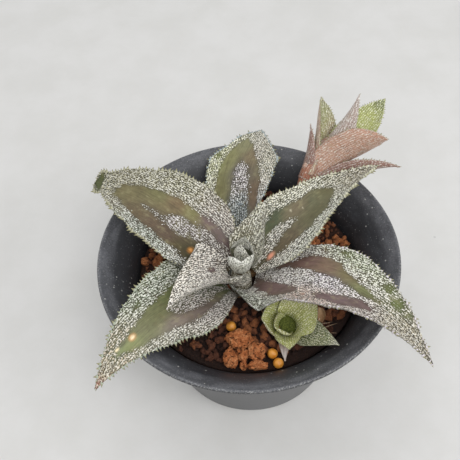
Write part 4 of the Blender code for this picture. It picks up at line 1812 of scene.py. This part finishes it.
BACK = Marks(
    bare=(((0.0, 0.3), (0.3, 0.6), (0.46, 0.72), (0.52, 0.67), (0.58, 0.63), (0.66, 0.62),
           (0.73, 0.63), (0.79, 0.62), (0.85, 0.63), (0.89, 0.5), (0.88, 0.22),
           (0.81, -0.18), (0.72, -0.38), (0.61, -0.57), (0.51, -0.7), (0.42, -0.75),
           (0.36, -0.82), (0.28, -0.75), (0.0, -0.5)),),
    silver=(((0.69, 0.03), (0.66, -0.15), (0.57, -0.3), (0.47, -0.42), (0.39, -0.48),
             (0.32, -0.52), (0.2, -0.45), (0.0, -0.3), (0.0, 0.1), (0.2, 0.1),
             (0.29, 0.12), (0.37, 0.3), (0.45, 0.23), (0.53, 0.2), (0.59, 0.18),
             (0.64, 0.15)),),
    skin=(Dab(0.71, 0.47, tint(134, 132, 88)), Dab(0.48, 0.6, tint(114, 110, 68)),
          Dab(0.43, -0.62, tint(112, 92, 72)), Dab(0.72, -0.2, tint(126, 111, 84)),
          Dab(0.85, 0.3, tint(138, 136, 100)), Dab(0.35, -0.2, tint(72, 82, 86)),
          Dab(0.6, 0.0, tint(92, 85, 84)), Dab(0.7, 0.88, tint(120, 130, 70)),
          Dab(0.7, -0.85, tint(115, 115, 85))),
    scurf=(Dab(0.35, -0.2, tint(190, 203, 207)), Dab(0.55, -0.05, tint(250, 240, 244)),
           Dab(0.7, 0.85, tint(246, 246, 205)), Dab(0.7, -0.8, tint(240, 233, 210))),
    spots=(Spot(0.72, 0.85, 1.6, None, 0.50, 1.3), Spot(0.62, 0.86, 1.2, None, 0.43, 1.6)),
    silver_cover=0.72,
)
RIGHT_HIGH = Marks(
    bare=(((0.08, 0.3), (0.16, 0.42), (0.24, 0.52), (0.31, 0.57), (0.38, 0.53),
           (0.44, 0.48), (0.51, 0.48), (0.57, 0.47), (0.63, 0.37), (0.67, 0.18),
           (0.67, -0.08), (0.62, -0.35), (0.55, -0.57), (0.49, -0.58), (0.42, -0.6),
           (0.36, -0.55), (0.31, -0.5), (0.25, -0.47), (0.2, -0.47), (0.15, -0.47),
           (0.1, -0.45), (0.0, -0.4), (0.0, 0.3)),),
    silver=(((0.4, 0.02), (0.37, -0.05), (0.31, -0.07), (0.26, -0.12), (0.21, -0.18),
             (0.16, -0.25), (0.1, -0.32), (0.0, -0.3), (0.0, 0.2), (0.15, 0.2),
             (0.18, 0.22), (0.22, 0.27), (0.27, 0.25), (0.32, 0.18), (0.36, 0.12)),),
    skin=(Dab(0.28, 0.48, tint(70, 80, 54)), Dab(0.44, 0.25, tint(118, 106, 82)),
          Dab(0.54, 0.1, tint(104, 104, 76)), Dab(0.26, -0.32, tint(100, 88, 68)),
          Dab(0.62, 0.2, tint(102, 98, 66)), Dab(0.5, -0.4, tint(98, 95, 66)),
          Dab(0.5, 0.85, tint(110, 108, 80)), Dab(0.5, -0.9, tint(115, 115, 92)),
          Dab(0.9, 0.0, tint(116, 110, 86))),
    scurf=(Dab(0.5, 0.8, tint(235, 233, 208)), Dab(0.25, 0.0, tint(240, 235, 223)),
           Dab(0.5, -0.9, tint(231, 233, 214)), Dab(0.9, 0.0, tint(195, 189, 165))),
    spots=(Spot(0.13, -0.36, 1.3, tint(238, 166, 138), 1.0, 1.7),
           Spot(0.4, 0.3, 0.5, tint(214, 205, 176), 0.9),
           Spot(0.46, 0.12, 0.4, tint(214, 205, 176), 0.9)),
)
YOUNG_FRONT = Marks(
    skin=(Dab(0.21, -0.23, tint(112, 90, 94)), Dab(0.08, -0.6, tint(112, 98, 96)),
          Dab(0.6, 0.0, tint(128, 116, 104)), Dab(0.5, 0.8, tint(120, 112, 96)),
          Dab(0.5, -0.8, tint(122, 116, 98))),
    scurf=(Dab(0.3, -0.5, tint(246, 237, 225)), Dab(0.3, 0.5, tint(250, 240, 233)),
           Dab(0.8, 0.0, tint(250, 242, 229)), Dab(0.2, 0.8, tint(248, 244, 229))),
    spots=(Spot(0.21, -0.23, 1.7, tint(112, 90, 96), 0.85, 1.2),
           Spot(0.09, -0.6, 2.2, None, 0.22, 1.2), Spot(0.4, 0.55, 0.9, None, 0.18, 3.0)),
    cover=0.93,
)
YOUNG_BACK = Marks(
    skin=(Dab(0.3, 0.3, tint(128, 122, 92)), Dab(0.7, 0.0, tint(140, 134, 108))),
    scurf=(Dab(0.3, 0.6, tint(236, 232, 208)), Dab(0.7, -0.4, tint(224, 222, 200))),
    spots=(Spot(0.38, 0.35, 3.4, None, 0.18, 1.6),),
    cover=0.9,
)
# Heart leaves down in the cup: bare in their lower half, with painted shade taking the skin to
# near-black towards the base.
HEART_SHADED_HOLLOW = Marks(
    bare=(((0.0, -1.2), (0.5, -1.2), (0.5, 1.2), (0.0, 1.2)),),
    skin=(Dab(0.0, 0.0, tint(34, 36, 24)), Dab(0.5, 0.0, tint(96, 98, 78)),
          Dab(0.9, 0.0, tint(140, 142, 124))),
    scurf=(Dab(0.5, 0.0, tint(214, 213, 196)),),
    cover=0.95, under_cover=0.95, under_skin=tint(140, 142, 124),
)
HEART = Marks(
    skin=(Dab(0.5, 0.0, tint(150, 152, 136)),),
    scurf=(Dab(0.5, 0.0, tint(218, 219, 206)),),
    cover=1.0, under_cover=1.0, under_skin=tint(150, 152, 134),
)
ROSY = Marks(
    skin=(Dab(0.1, 0.0, tint(227, 146, 110)), Dab(0.4, 0.5, tint(218, 165, 136)),
          Dab(0.4, -0.5, tint(220, 148, 117)), Dab(0.75, 0.0, tint(197, 161, 134)),
          Dab(0.95, 0.0, tint(178, 157, 127))),
    scurf=(Dab(0.4, 0.0, tint(232, 212, 196)),),
    cover=0.66, under_cover=0.68, under_skin=tint(228, 174, 148),
)
ROSY_PALE = Marks(
    skin=(Dab(0.2, 0.0, tint(206, 160, 136)), Dab(0.6, 0.0, tint(196, 168, 156)),
          Dab(0.97, 0.0, tint(120, 108, 98))),
    scurf=(Dab(0.4, 0.0, tint(232, 222, 216)),),
    cover=0.8, under_cover=0.8, under_skin=tint(214, 188, 176),
)
ROSY_DARK = Marks(
    skin=(Dab(0.08, 0.4, tint(206, 170, 116)), Dab(0.15, -0.4, tint(206, 134, 104)),
          Dab(0.45, 0.3, tint(150, 110, 98)), Dab(0.5, -0.4, tint(166, 122, 104)),
          Dab(0.85, 0.0, tint(158, 132, 118)), Dab(1.0, 0.0, tint(116, 104, 98))),
    scurf=(Dab(0.4, 0.0, tint(226, 206, 194)),),
    cover=0.56, under_cover=0.58, under_skin=tint(168, 126, 114),
)
ROSY_GREEN = Marks(
    skin=(Dab(0.15, 0.0, tint(192, 186, 116)), Dab(0.5, 0.0, tint(172, 168, 98)),
          Dab(0.5, 0.8, tint(196, 168, 140)), Dab(0.5, -0.8, tint(196, 168, 140)),
          Dab(0.85, 0.0, tint(166, 170, 112)), Dab(0.98, 0.0, tint(128, 124, 96))),
    scurf=(Dab(0.4, 0.0, tint(222, 220, 178)),),
    cover=0.72, under_cover=0.66, under_skin=tint(212, 170, 148),
)
BRIGHT_LIME = Marks(
    skin=(Dab(0.2, 0.0, tint(178, 186, 96)), Dab(0.7, 0.0, tint(186, 192, 104)),
          Dab(1.0, 0.0, tint(120, 128, 80))),
    scurf=(Dab(0.4, 0.0, tint(224, 230, 170)),),
    cover=0.66, under_cover=0.66, under_skin=tint(196, 184, 130),
)
LIME = Marks(
    skin=(Dab(0.0, 0.0, tint(143, 158, 32)), Dab(0.3, 0.0, tint(212, 218, 89)),
          Dab(0.6, 0.5, tint(229, 231, 134)), Dab(0.6, -0.5, tint(218, 225, 117)),
          Dab(0.95, 0.0, tint(225, 227, 138))),
    scurf=(Dab(0.5, 0.0, tint(248, 246, 204)),),
    cover=0.7, under_cover=0.78, under_skin=tint(210, 210, 132),
)
LIME_DARK = Marks(
    skin=(Dab(0.2, 0.0, tint(104, 119, 43)), Dab(0.7, 0.0, tint(117, 131, 56)),
          Dab(0.98, 0.0, tint(203, 202, 185))),
    scurf=(Dab(0.5, 0.0, tint(234, 234, 192)),),
    cover=0.72, under_cover=0.74, under_skin=tint(160, 168, 110),
)
PALE_SLIVER = Marks(
    skin=(Dab(0.2, 0.0, tint(188, 158, 142)), Dab(0.9, 0.0, tint(226, 214, 208))),
    scurf=(Dab(0.5, 0.0, tint(226, 216, 210)),),
    cover=0.4, under_cover=0.4, under_skin=tint(184, 154, 138),
)
DRIED = Marks(
    skin=(Dab(0.3, 0.0, tint(176, 132, 92)), Dab(0.8, 0.0, tint(214, 176, 136))),
    scurf=(Dab(0.5, 0.0, tint(214, 190, 158)),),
    cover=0.25, under_cover=0.2, under_skin=tint(140, 98, 68),
)

FINE_TEETH = Teeth(1.1, 1.0, 0.3, 0.7)

MAIN_BLADES = (
    Blade("leaf_front_left", (209, 236), 72, 33, (44.5, -31.5), (11, -56), (20, 2), 61.0,
          widest=0.32, taper=1.15, variety=1.0, marks=LEFT_LOW),
    Blade("leaf_back", (99, 63), 75.5, 30, (30, -16), (-22, -9), (42, 9), 62.0,
          base_share=0.35, widest=0.66, taper=1.5, variety=2.0, marks=BACK,
          lobes=((0.68, -1.0, 0.07, 0.05), (0.84, 1.0, 0.06, -0.1))),
    Blade("leaf_front_right", (-12, -56), 82, 32, (43, -29), (-2, -12), (9, 40), 63.0,
          base_share=0.84, widest=0.5, taper=0.95, clasp=0.13, variety=3.0, marks=RIGHT_LOW,
          lobes=((0.12, -1.0, 0.06, 0.2), (0.27, -1.0, 0.045, -0.1)),
          teeth=Teeth(start=0.0, length=1.4)),
    Blade("leaf_back_left", (139, 147), 75.5, 34, (38, -28), (-3, -28), (20, 28), 67.6,
          widest=0.3, taper=2.2, variety=4.0, blunt=10.0, marks=LEFT_HIGH,
          lobes=((0.76, -1.0, 0.2, -0.17),)),
    Blade("leaf_back_right", (41, 30), 68.5, 29.5, (34, -7), (8, -24), (30, 24), 68.0,
          widest=0.3, taper=1.3, variety=5.0, marks=RIGHT_HIGH),
    Blade("young_leaf_front", (205, 241), 35.5, 31, (47, -4), (17, 5), (68, 41), 70.0,
          reach=4.5, base_share=0.5, widest=0.27, taper=0.66, rows=90, variety=6.0,
          clasp=0.22, clasp_side=1.0, clasp_rise=-0.1, clasp_drop=1.2,
          marks=YOUNG_FRONT, ripple=0.15, scallop=0.015,
          teeth=Teeth(length=0.5, start=0.2)),
    Blade("young_leaf_back", (64, 46), 28, 16.5, (68, 39), (-4, 2), (62, 32), 71.5,
          reach=4.5, base_share=0.6, widest=0.33, taper=0.9, rows=80, variety=7.0,
          marks=YOUNG_BACK, ripple=0.1, scallop=0.015,
          teeth=Teeth(length=0.5, start=0.3)),
)
HEART_BLADES = (
    Blade("heart_leaf_front", (276, 272), 8.4, 13.4, (76, 86), (0, 0), (84, 84), 74.8,
          reach=3.2, base_share=0.8, widest=0.5, taper=5.0, blunt=9.0, thickness=0.8, rows=40,
          columns=32, variety=8.0, marks=HEART, ripple=0.0, scallop=0.0, teeth=None),
    Blade("heart_leaf_back", (62, 70), 13, 11, (78, 84), (0, 0), (66, 50), 74.5,
          reach=2.7, base_share=0.6, widest=0.4, taper=1.6, thickness=0.8, rows=40,
          columns=32, variety=9.0, marks=HEART_SHADED_HOLLOW, ripple=0.0, scallop=0.0, teeth=None),
    Blade("heart_leaf_inner", (246, 236), 10.5, 7.0, (92, 100), (0, 0), (50, 40), 76.0,
          reach=-0.2, base_share=0.7, widest=0.35, taper=1.5, thickness=0.6, rows=32,
          columns=24, variety=10.0, marks=HEART_SHADED_HOLLOW, ripple=0.0, scallop=0.0, teeth=None),
)


def back_blade(node: str, heading: Point, length: float, width: float, climb: Point,
               twist: Point, cup: Point, height: float, reach: float, base_share: float,
               widest: float, taper: float, variety: float, marks: Marks = ROSY) -> Blade:
    """A leaf of the back offset."""
    return Blade("back_offset_leaf_" + node, heading, length, width, climb, twist, cup, height,
                 reach, base_share, widest, taper, thickness=0.9, rows=90, columns=32,
                 ripple=0.12, scallop=0.02, edge=0.3, variety=variety, marks=marks,
                 teeth=FINE_TEETH)


def front_blade(node: str, heading: Point, length: float, width: float, climb: Point,
                cup: Point, height: float, reach: float, base_share: float,
                widest: float, taper: float, variety: float, marks: Marks = LIME) -> Blade:
    """A leaf of the front offset."""
    return Blade("front_offset_leaf_" + node, heading, length, width, climb, (0, 0), cup,
                 height, reach, base_share, widest, taper, thickness=0.8, rows=56, columns=30,
                 ripple=0.08, scallop=0.02, edge=0.3, variety=variety, marks=marks,
                 teeth=Teeth(1.2, 0.4, 0.35, 0.6))


BACK_BLADES = (
    back_blade("left", (132, 124), 22.5, 10.5, (80, 50), (0, 8), (64, 40), -1.0,
               3.9, 1.0, 0.4, 1.3, 21.0, ROSY_DARK),
    back_blade("upper", (98, 88), 35, 18, (84, 46), (0, -18), (84, 50), 1.5,
               3.2, 0.9, 0.55, 1.9, 22.0, ROSY_GREEN),
    back_blade("middle", (207, 163), 35, 11, (86, 62), (-1, -4), (84, 52), 6.0,
               2.6, 0.9, 0.4, 1.4, 23.0, ROSY_PALE),
    back_blade("under", (-14, 14), 47, 16, (82, 68), (2, 10), (80, 26), 4.0,
               2.5, 0.8, 0.5, 1.8, 24.0, BRIGHT_LIME),
    back_blade("broad", (240, 256), 35, 20, (78, 33), (4, -1), (88, 44), 2.5,
               3.4, 0.85, 0.55, 2.3, 25.0),
    back_blade("right", (284, 284), 36, 12.5, (70, 29), (-8, -15), (74, 56), -0.4,
               4.6, 0.95, 0.4, 1.4, 26.0, ROSY_DARK),
)
FRONT_BLADES = (
    front_blade("low", (72, 62), 21, 12, (46, 18), (36, 20), 1.5, 3.4, 0.5, 0.35, 1.2,
                31.0, LIME_DARK),
    front_blade("tip", (-6, 8), 12, 4.5, (42, 6), (30, 20), 1.9, 3.3, 0.6, 0.35, 1.3,
                32.0, PALE_SLIVER),
    front_blade("left", (258, 280), 9.8, 17, (70, 46), (84, 62), 2.4, 4.4, 0.95, 0.55, 3.6,
                33.0),
    front_blade("right", (126, 130), 15, 18.5, (76, 14), (104, 34), 3.0, 3.6, 0.85, 0.5, 1.5,
                34.0),
    front_blade("front", (8, 6), 10.5, 11, (70, 34), (76, 44), 3.0, 3.9, 0.95, 0.45, 1.9,
                35.0),
    front_blade("inner", (296, 296), 8.2, 12.5, (86, 66), (104, 76), 3.6, 3.0, 0.95, 0.5,
                2.2, 36.0),
)
SCRAP_BLADES = (
    Blade("dry_leaf_scrap", (60, 120), 6.5, 3.4, (34, -16), (0, 0), (55, 55), 0.6,
          reach=0.0, base_share=0.6, widest=0.4, taper=2.0, thickness=0.7, rows=30,
          columns=18, edge=0.2, ripple=0.25, scallop=0.08, variety=41.0, marks=DRIED,
          teeth=None),
)

MAIN_FINISH = LeafFinish("scaled_leaf")
RED_FINISH = LeafFinish("rosy_leaf", across=0.36, along=1.1, shade=0.36, pits=0.3, rows=0.4,
                        lane=0.9)
GREEN_FINISH = LeafFinish("lime_leaf", across=0.44, along=0.62, shade=0.5, pits=0.8, rows=0.3,
                          lane=0.9)
HEART_FINISH = LeafFinish("heart_leaf", across=0.5, along=0.75, shade=0.7, pits=0.6,
                          rows=0.12, reach=0.64)
DRY_FINISH = LeafFinish("withered_leaf", across=0.5, along=1.5, shade=0.3, pits=0.3, rows=0.5,
                        gloss=0.6)


@dataclass(frozen=True)
class Runner:
    """The woody runner from the main stem to the back offset, with ringed sheaths."""

    knots: tuple[tuple[float, float, float], ...] = (
        (1.0, -4.2, 60.5), (7.2, 7.2, 60.6), (16.0, 18.0, 64.6), (22.0, 28.0, 69.4),
        (26.5, 34.5, 73.0),
    )
    radii: tuple[float, ...] = (1.5, 1.4, 1.5, 1.9, 2.2)
    sheath: float = 3.4

    def build(self, material: bpy.types.Material) -> None:
        """Make the tube, swollen above each ring."""
        line, radii = flowing(self.knots, self.radii, 22)
        run, fine = 0.0, []
        for index, spot in enumerate(line):
            if index:
                run += (spot - line[index - 1]).length
            phase = (run / self.sheath) % 1.0
            fine.append(radii[index] * (0.86 + 0.2 * (1.0 - phase) ** 2 * ease(phase / 0.08)))
        points, faces = tube(line, fine, 28)
        item = add_mesh("ringed_runner", points, faces, material)
        for vertex in item.data.vertices:
            vertex.co += vertex.normal * noise.noise(vertex.co * 900.0) * 0.12 * MM
        publish(item, Slot.STEM, "runner")


@dataclass(frozen=True)
class Litter:
    """Fine dead straws and a hair lying by the front offset."""

    strands: tuple[tuple[tuple[float, float, float], ...], ...] = (
        ((24.5, -30.6, 59.3), (27.5, -29.5, 59.9), (30.5, -28.4, 60.1), (33.4, -27.3, 59.6)),
        ((23.6, -28.2, 59.3), (26.6, -27.6, 60.1), (29.4, -27.2, 60.0), (31.6, -26.4, 59.4)),
        ((25.4, -31.8, 59.2), (28.0, -31.9, 59.6), (30.9, -31.3, 59.5), (33.0, -31.2, 59.0)),
        ((4.1, -20.6, 62.4), (4.9, -22.4, 61.4), (6.0, -24.6, 60.1), (6.4, -26.4, 59.3)),
    )
    radius: float = 0.16

    def build(self, material: bpy.types.Material) -> None:
        """Make the strands as one piece."""
        points: list[Vector] = []
        faces: list[tuple[int, ...]] = []
        for strand in self.strands:
            line, radii = flowing(strand, [self.radius, self.radius, self.radius * 0.9, 0.05], 8)
            spots, sides = tube(line, radii, 8)
            faces += [tuple(corner + len(points) for corner in side) for side in sides]
            points += spots
        publish(add_mesh("dead_straws", points, faces, material), Slot.DRY)


# --------------------------------------------------------------------------- studio


@dataclass(frozen=True)
class SoftBox:
    """A square area light aimed at the plant."""

    name: str
    spot: tuple[float, float, float]
    size: float
    power: float
    colour: tuple[float, float, float] = (1.0, 1.0, 1.0)

    def build(self) -> None:
        """Hang the light."""
        data = bpy.data.lights.new(self.name, "AREA")
        data.shape = "SQUARE"
        data.size = self.size
        data.energy = self.power
        data.color = self.colour
        item = bpy.data.objects.new(self.name, data)
        bpy.context.scene.collection.objects.link(item)
        place = Vector(self.spot)
        aim = Vector((0.0, 0.0, 0.06)) - place
        item.matrix_world = Matrix.Translation(place) @ aim.to_track_quat("-Z", "Y").to_matrix(
            ).to_4x4()


@dataclass(frozen=True)
class Studio:
    """Pale floor, soft light and the camera."""

    place: tuple[float, float, float] = (0.0, -0.17463, 0.31393)
    yaw: float = -2.146
    pitch: float = 52.6
    roll: float = -3.607
    focal: float = 754.9
    frame: float = 460.0
    sensor: float = 36.0
    lights: tuple[SoftBox, ...] = (
        SoftBox("window_box", (0.22, -0.62, 1.0), 0.5, 4.8),
        SoftBox("side_box", (1.0, -0.38, 0.6), 0.5, 2.6),
        SoftBox("top_box", (-0.2, 0.35, 1.3), 1.0, 2.0),
    )
    sky: float = 0.68

    def build(self) -> None:
        """Set up floor, world, lights and camera."""
        self.floor()
        world = bpy.data.worlds.new("soft_room")
        world.use_nodes = True
        backdrop = world.node_tree.nodes["Background"]
        backdrop.inputs["Color"].default_value = (0.98, 0.99, 1.0, 1.0)
        backdrop.inputs["Strength"].default_value = self.sky
        scene = bpy.context.scene
        scene.world = world
        scene.view_settings.view_transform = "Standard"
        for light in self.lights:
            light.build()
        self.camera()

    @staticmethod
    def floor() -> None:
        """A wide board under the pot."""
        size = 6000.0
        points = [(-size, -size, -0.3), (size, -size, -0.3), (size, size, -0.3),
                  (-size, size, -0.3)]
        board = add_mesh("floor_board", points, [(0, 1, 2, 3)], FloorFinish().material(),
                         closed=False)

    def camera(self) -> None:
        """Place the camera by its yaw, pitch and roll."""
        yaw, pitch, roll = (math.radians(v) for v in (self.yaw, self.pitch, self.roll))
        ahead = Vector((math.sin(yaw) * math.cos(pitch), math.cos(yaw) * math.cos(pitch),
                        -math.sin(pitch)))
        right = ahead.cross(Vector((0.0, 0.0, 1.0))).normalized()
        up = right.cross(ahead)
        side = right * math.cos(roll) + up * math.sin(roll)
        top = up * math.cos(roll) - right * math.sin(roll)
        data = bpy.data.cameras.new("camera")
        data.sensor_width = self.sensor
        data.lens = self.focal / self.frame * self.sensor
        data.clip_start = 0.01
        item = bpy.data.objects.new("camera", data)
        bpy.context.scene.collection.objects.link(item)
        turn = Matrix((side, top, -ahead)).transposed().to_4x4()
        item.matrix_world = Matrix.Translation(Vector(self.place)) @ turn
        bpy.context.scene.camera = item


def dress_stem(stem: bpy.types.Object) -> None:
    """Give the upright main stem its bark, and leaf bases near its top."""
    material = StemFinish("stem_bark", tint(74, 52, 34), tint(150, 118, 78),
                          tint(112, 110, 90), 60.0).material()
    for slot in stem.material_slots:
        slot.material = material
    LOG.info("%s: dressed in place", stem.name)


@dataclass(frozen=True)
class OffsetHeart:
    """The low green heart in the front offset's cup."""

    profile: tuple[Point, ...] = ((0.0, 0.0), (4.2, 0.0), (4.5, 1.8), (4.35, 3.0),
                                  (3.8, 1.9), (2.7, 0.9), (1.2, 0.6), (0.0, 0.5))
    steps: int = 48

    def build(self, place: Matrix) -> None:
        """Turn the stub and stand it in the rosette's frame.

        Args:
            place: The rosette's frame, in millimetres.
        """
        finish = StemFinish("offset_heart", tint(64, 72, 26), tint(122, 132, 58),
                            tint(100, 112, 48), 80.0).material()
        item = turned("front_offset_heart", rounded(self.profile, 2), self.steps, finish)
        for vertex in item.data.vertices:
            vertex.co = (place @ (vertex.co / MM)) * MM
        publish(item, Slot.STEM, "front_offset_stem")


@dataclass(frozen=True)
class Neck:
    """The sheathed neck where the back offset's leaves wrap one another."""

    knots: tuple[tuple[float, float, float], ...] = (
        (22.5, 28.6, 69.6), (25.0, 32.6, 72.0), (27.2, 35.8, 74.4), (29.6, 38.6, 76.8),
        (32.0, 41.2, 79.2), (34.4, 43.6, 81.4), (36.8, 45.8, 83.4), (38.6, 47.4, 84.8))
    radii: tuple[float, ...] = (2.1, 3.5, 4.5, 5.0, 5.2, 4.8, 3.4, 0.9)
    sides: int = 72

    def build(self, material: bpy.types.Material) -> None:
        """Make the sheath with the markings that the leaf finish reads.

        Args:
            material: The back offset's leaf finish.
        """
        line, radii = flowing(self.knots, self.radii, 14)
        points, faces = tube(line, radii, self.sides)
        item = add_mesh("back_offset_sheath", points, faces, material)
        share = np.repeat(np.linspace(0.0, 1.0, len(line)), self.sides)
        turn = np.tile(np.arange(self.sides) / self.sides, len(line))
        length = sum((b - a).length for a, b in zip(line, line[1:]))
        metric = np.stack([turn * 2.0 * math.pi * 4.0, share * length,
                           np.full(len(share), 190.0)], 1)
        low, high = np.array(tint(196, 122, 92)), np.array(tint(198, 150, 130))
        purple = np.array(tint(140, 98, 98))
        skin = low + (high - low) * ease(share)[:, None]
        side = ease(np.sin(turn * 2.0 * math.pi * 2.0) * 0.5)[:, None]
        skin = skin + (purple - skin) * side * 0.65
        write(item, "metric", "FLOAT_VECTOR", metric)
        write(item, "cover", "FLOAT", 0.44 + 0.3 * share)
        write(item, "skin", "FLOAT_COLOR", skin)
        write(item, "scurf", "FLOAT_COLOR", np.tile(np.array(tint(226, 200, 180)),
                                                    (len(share), 1)))
        publish(item, Slot.RED)


def main() -> None:
    """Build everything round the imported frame."""
    logging.basicConfig(level=logging.INFO, format="%(message)s")
    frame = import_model()
    Studio().build()
    NurseryPot().build()
    SoilBed().build()
    clay = ClayFinish().material()
    lumps = (("wide", 8, 0.3), ("left", -6, 1.7), ("middle", 14, 2.9), ("right", -12, 4.1),
             ("low_right", 6, 5.3), ("low_middle", 0, 6.7), ("back_left", 30, 7.9),
             ("back_right", -20, 9.1))
    for name, turn, variety in lumps:
        Lump("clay_lump_" + name, turn, variety).build(clay)
    amber = FeedCoating().material()
    for index, name in enumerate(("left", "front", "low")):
        FeedPellet("feed_pellet_" + name, index * 3.3).build(amber)
    bark = StrawFinish("stem_bark", tint(74, 52, 34), tint(150, 118, 78)).material()
    straw = StrawFinish("dead_straw", tint(120, 90, 70), tint(206, 184, 156)).material()
    dress_stem(frame["nodes"]["plant_stem"])
    Runner().build(bark)
    Litter().build(straw)
    toothing = Toothing(ToothFinish().material())
    scaling = Scaling(FlakeFinish().material())
    rosettes = (
        Rosette("main", (-3.0, -9.0, 0.0), MAIN_BLADES, Slot.LEAF, MAIN_FINISH, seed=3),
        Rosette("back_offset", (26.5, 34.5, 72.5), BACK_BLADES, Slot.RED, RED_FINISH, 45.0,
                60.0, flakes=0.8, flake_sizes=(0.25, 0.5), seed=5),
        Rosette("front_offset", (14.0, -27.0, 57.6), FRONT_BLADES, Slot.GREEN, GREEN_FINISH,
                -95.0, 20.0, flakes=2.0, flake_sizes=(0.2, 0.42), seed=7),
    )
    for rosette in rosettes:
        rosette.build(toothing, scaling)
    OffsetHeart().build(rosettes[2].place())
    Neck().build(RED_FINISH.material())
    leaf = HEART_FINISH.material()
    heart = Rosette("heart", (-3.0, -9.0, 0.0), (), Slot.LEAF, MAIN_FINISH)
    for blade in HEART_BLADES:
        publish(blade.build(heart.place(), leaf), Slot.LEAF, blade.node)
    scrap = Rosette("scrap", (27.0, -26.0, 58.5), (), Slot.DRY, DRY_FINISH)
    dry = DRY_FINISH.material()
    for blade in SCRAP_BLADES:
        publish(blade.build(scrap.place(), dry), Slot.DRY, blade.node)


if __name__ == "__main__":
    main()
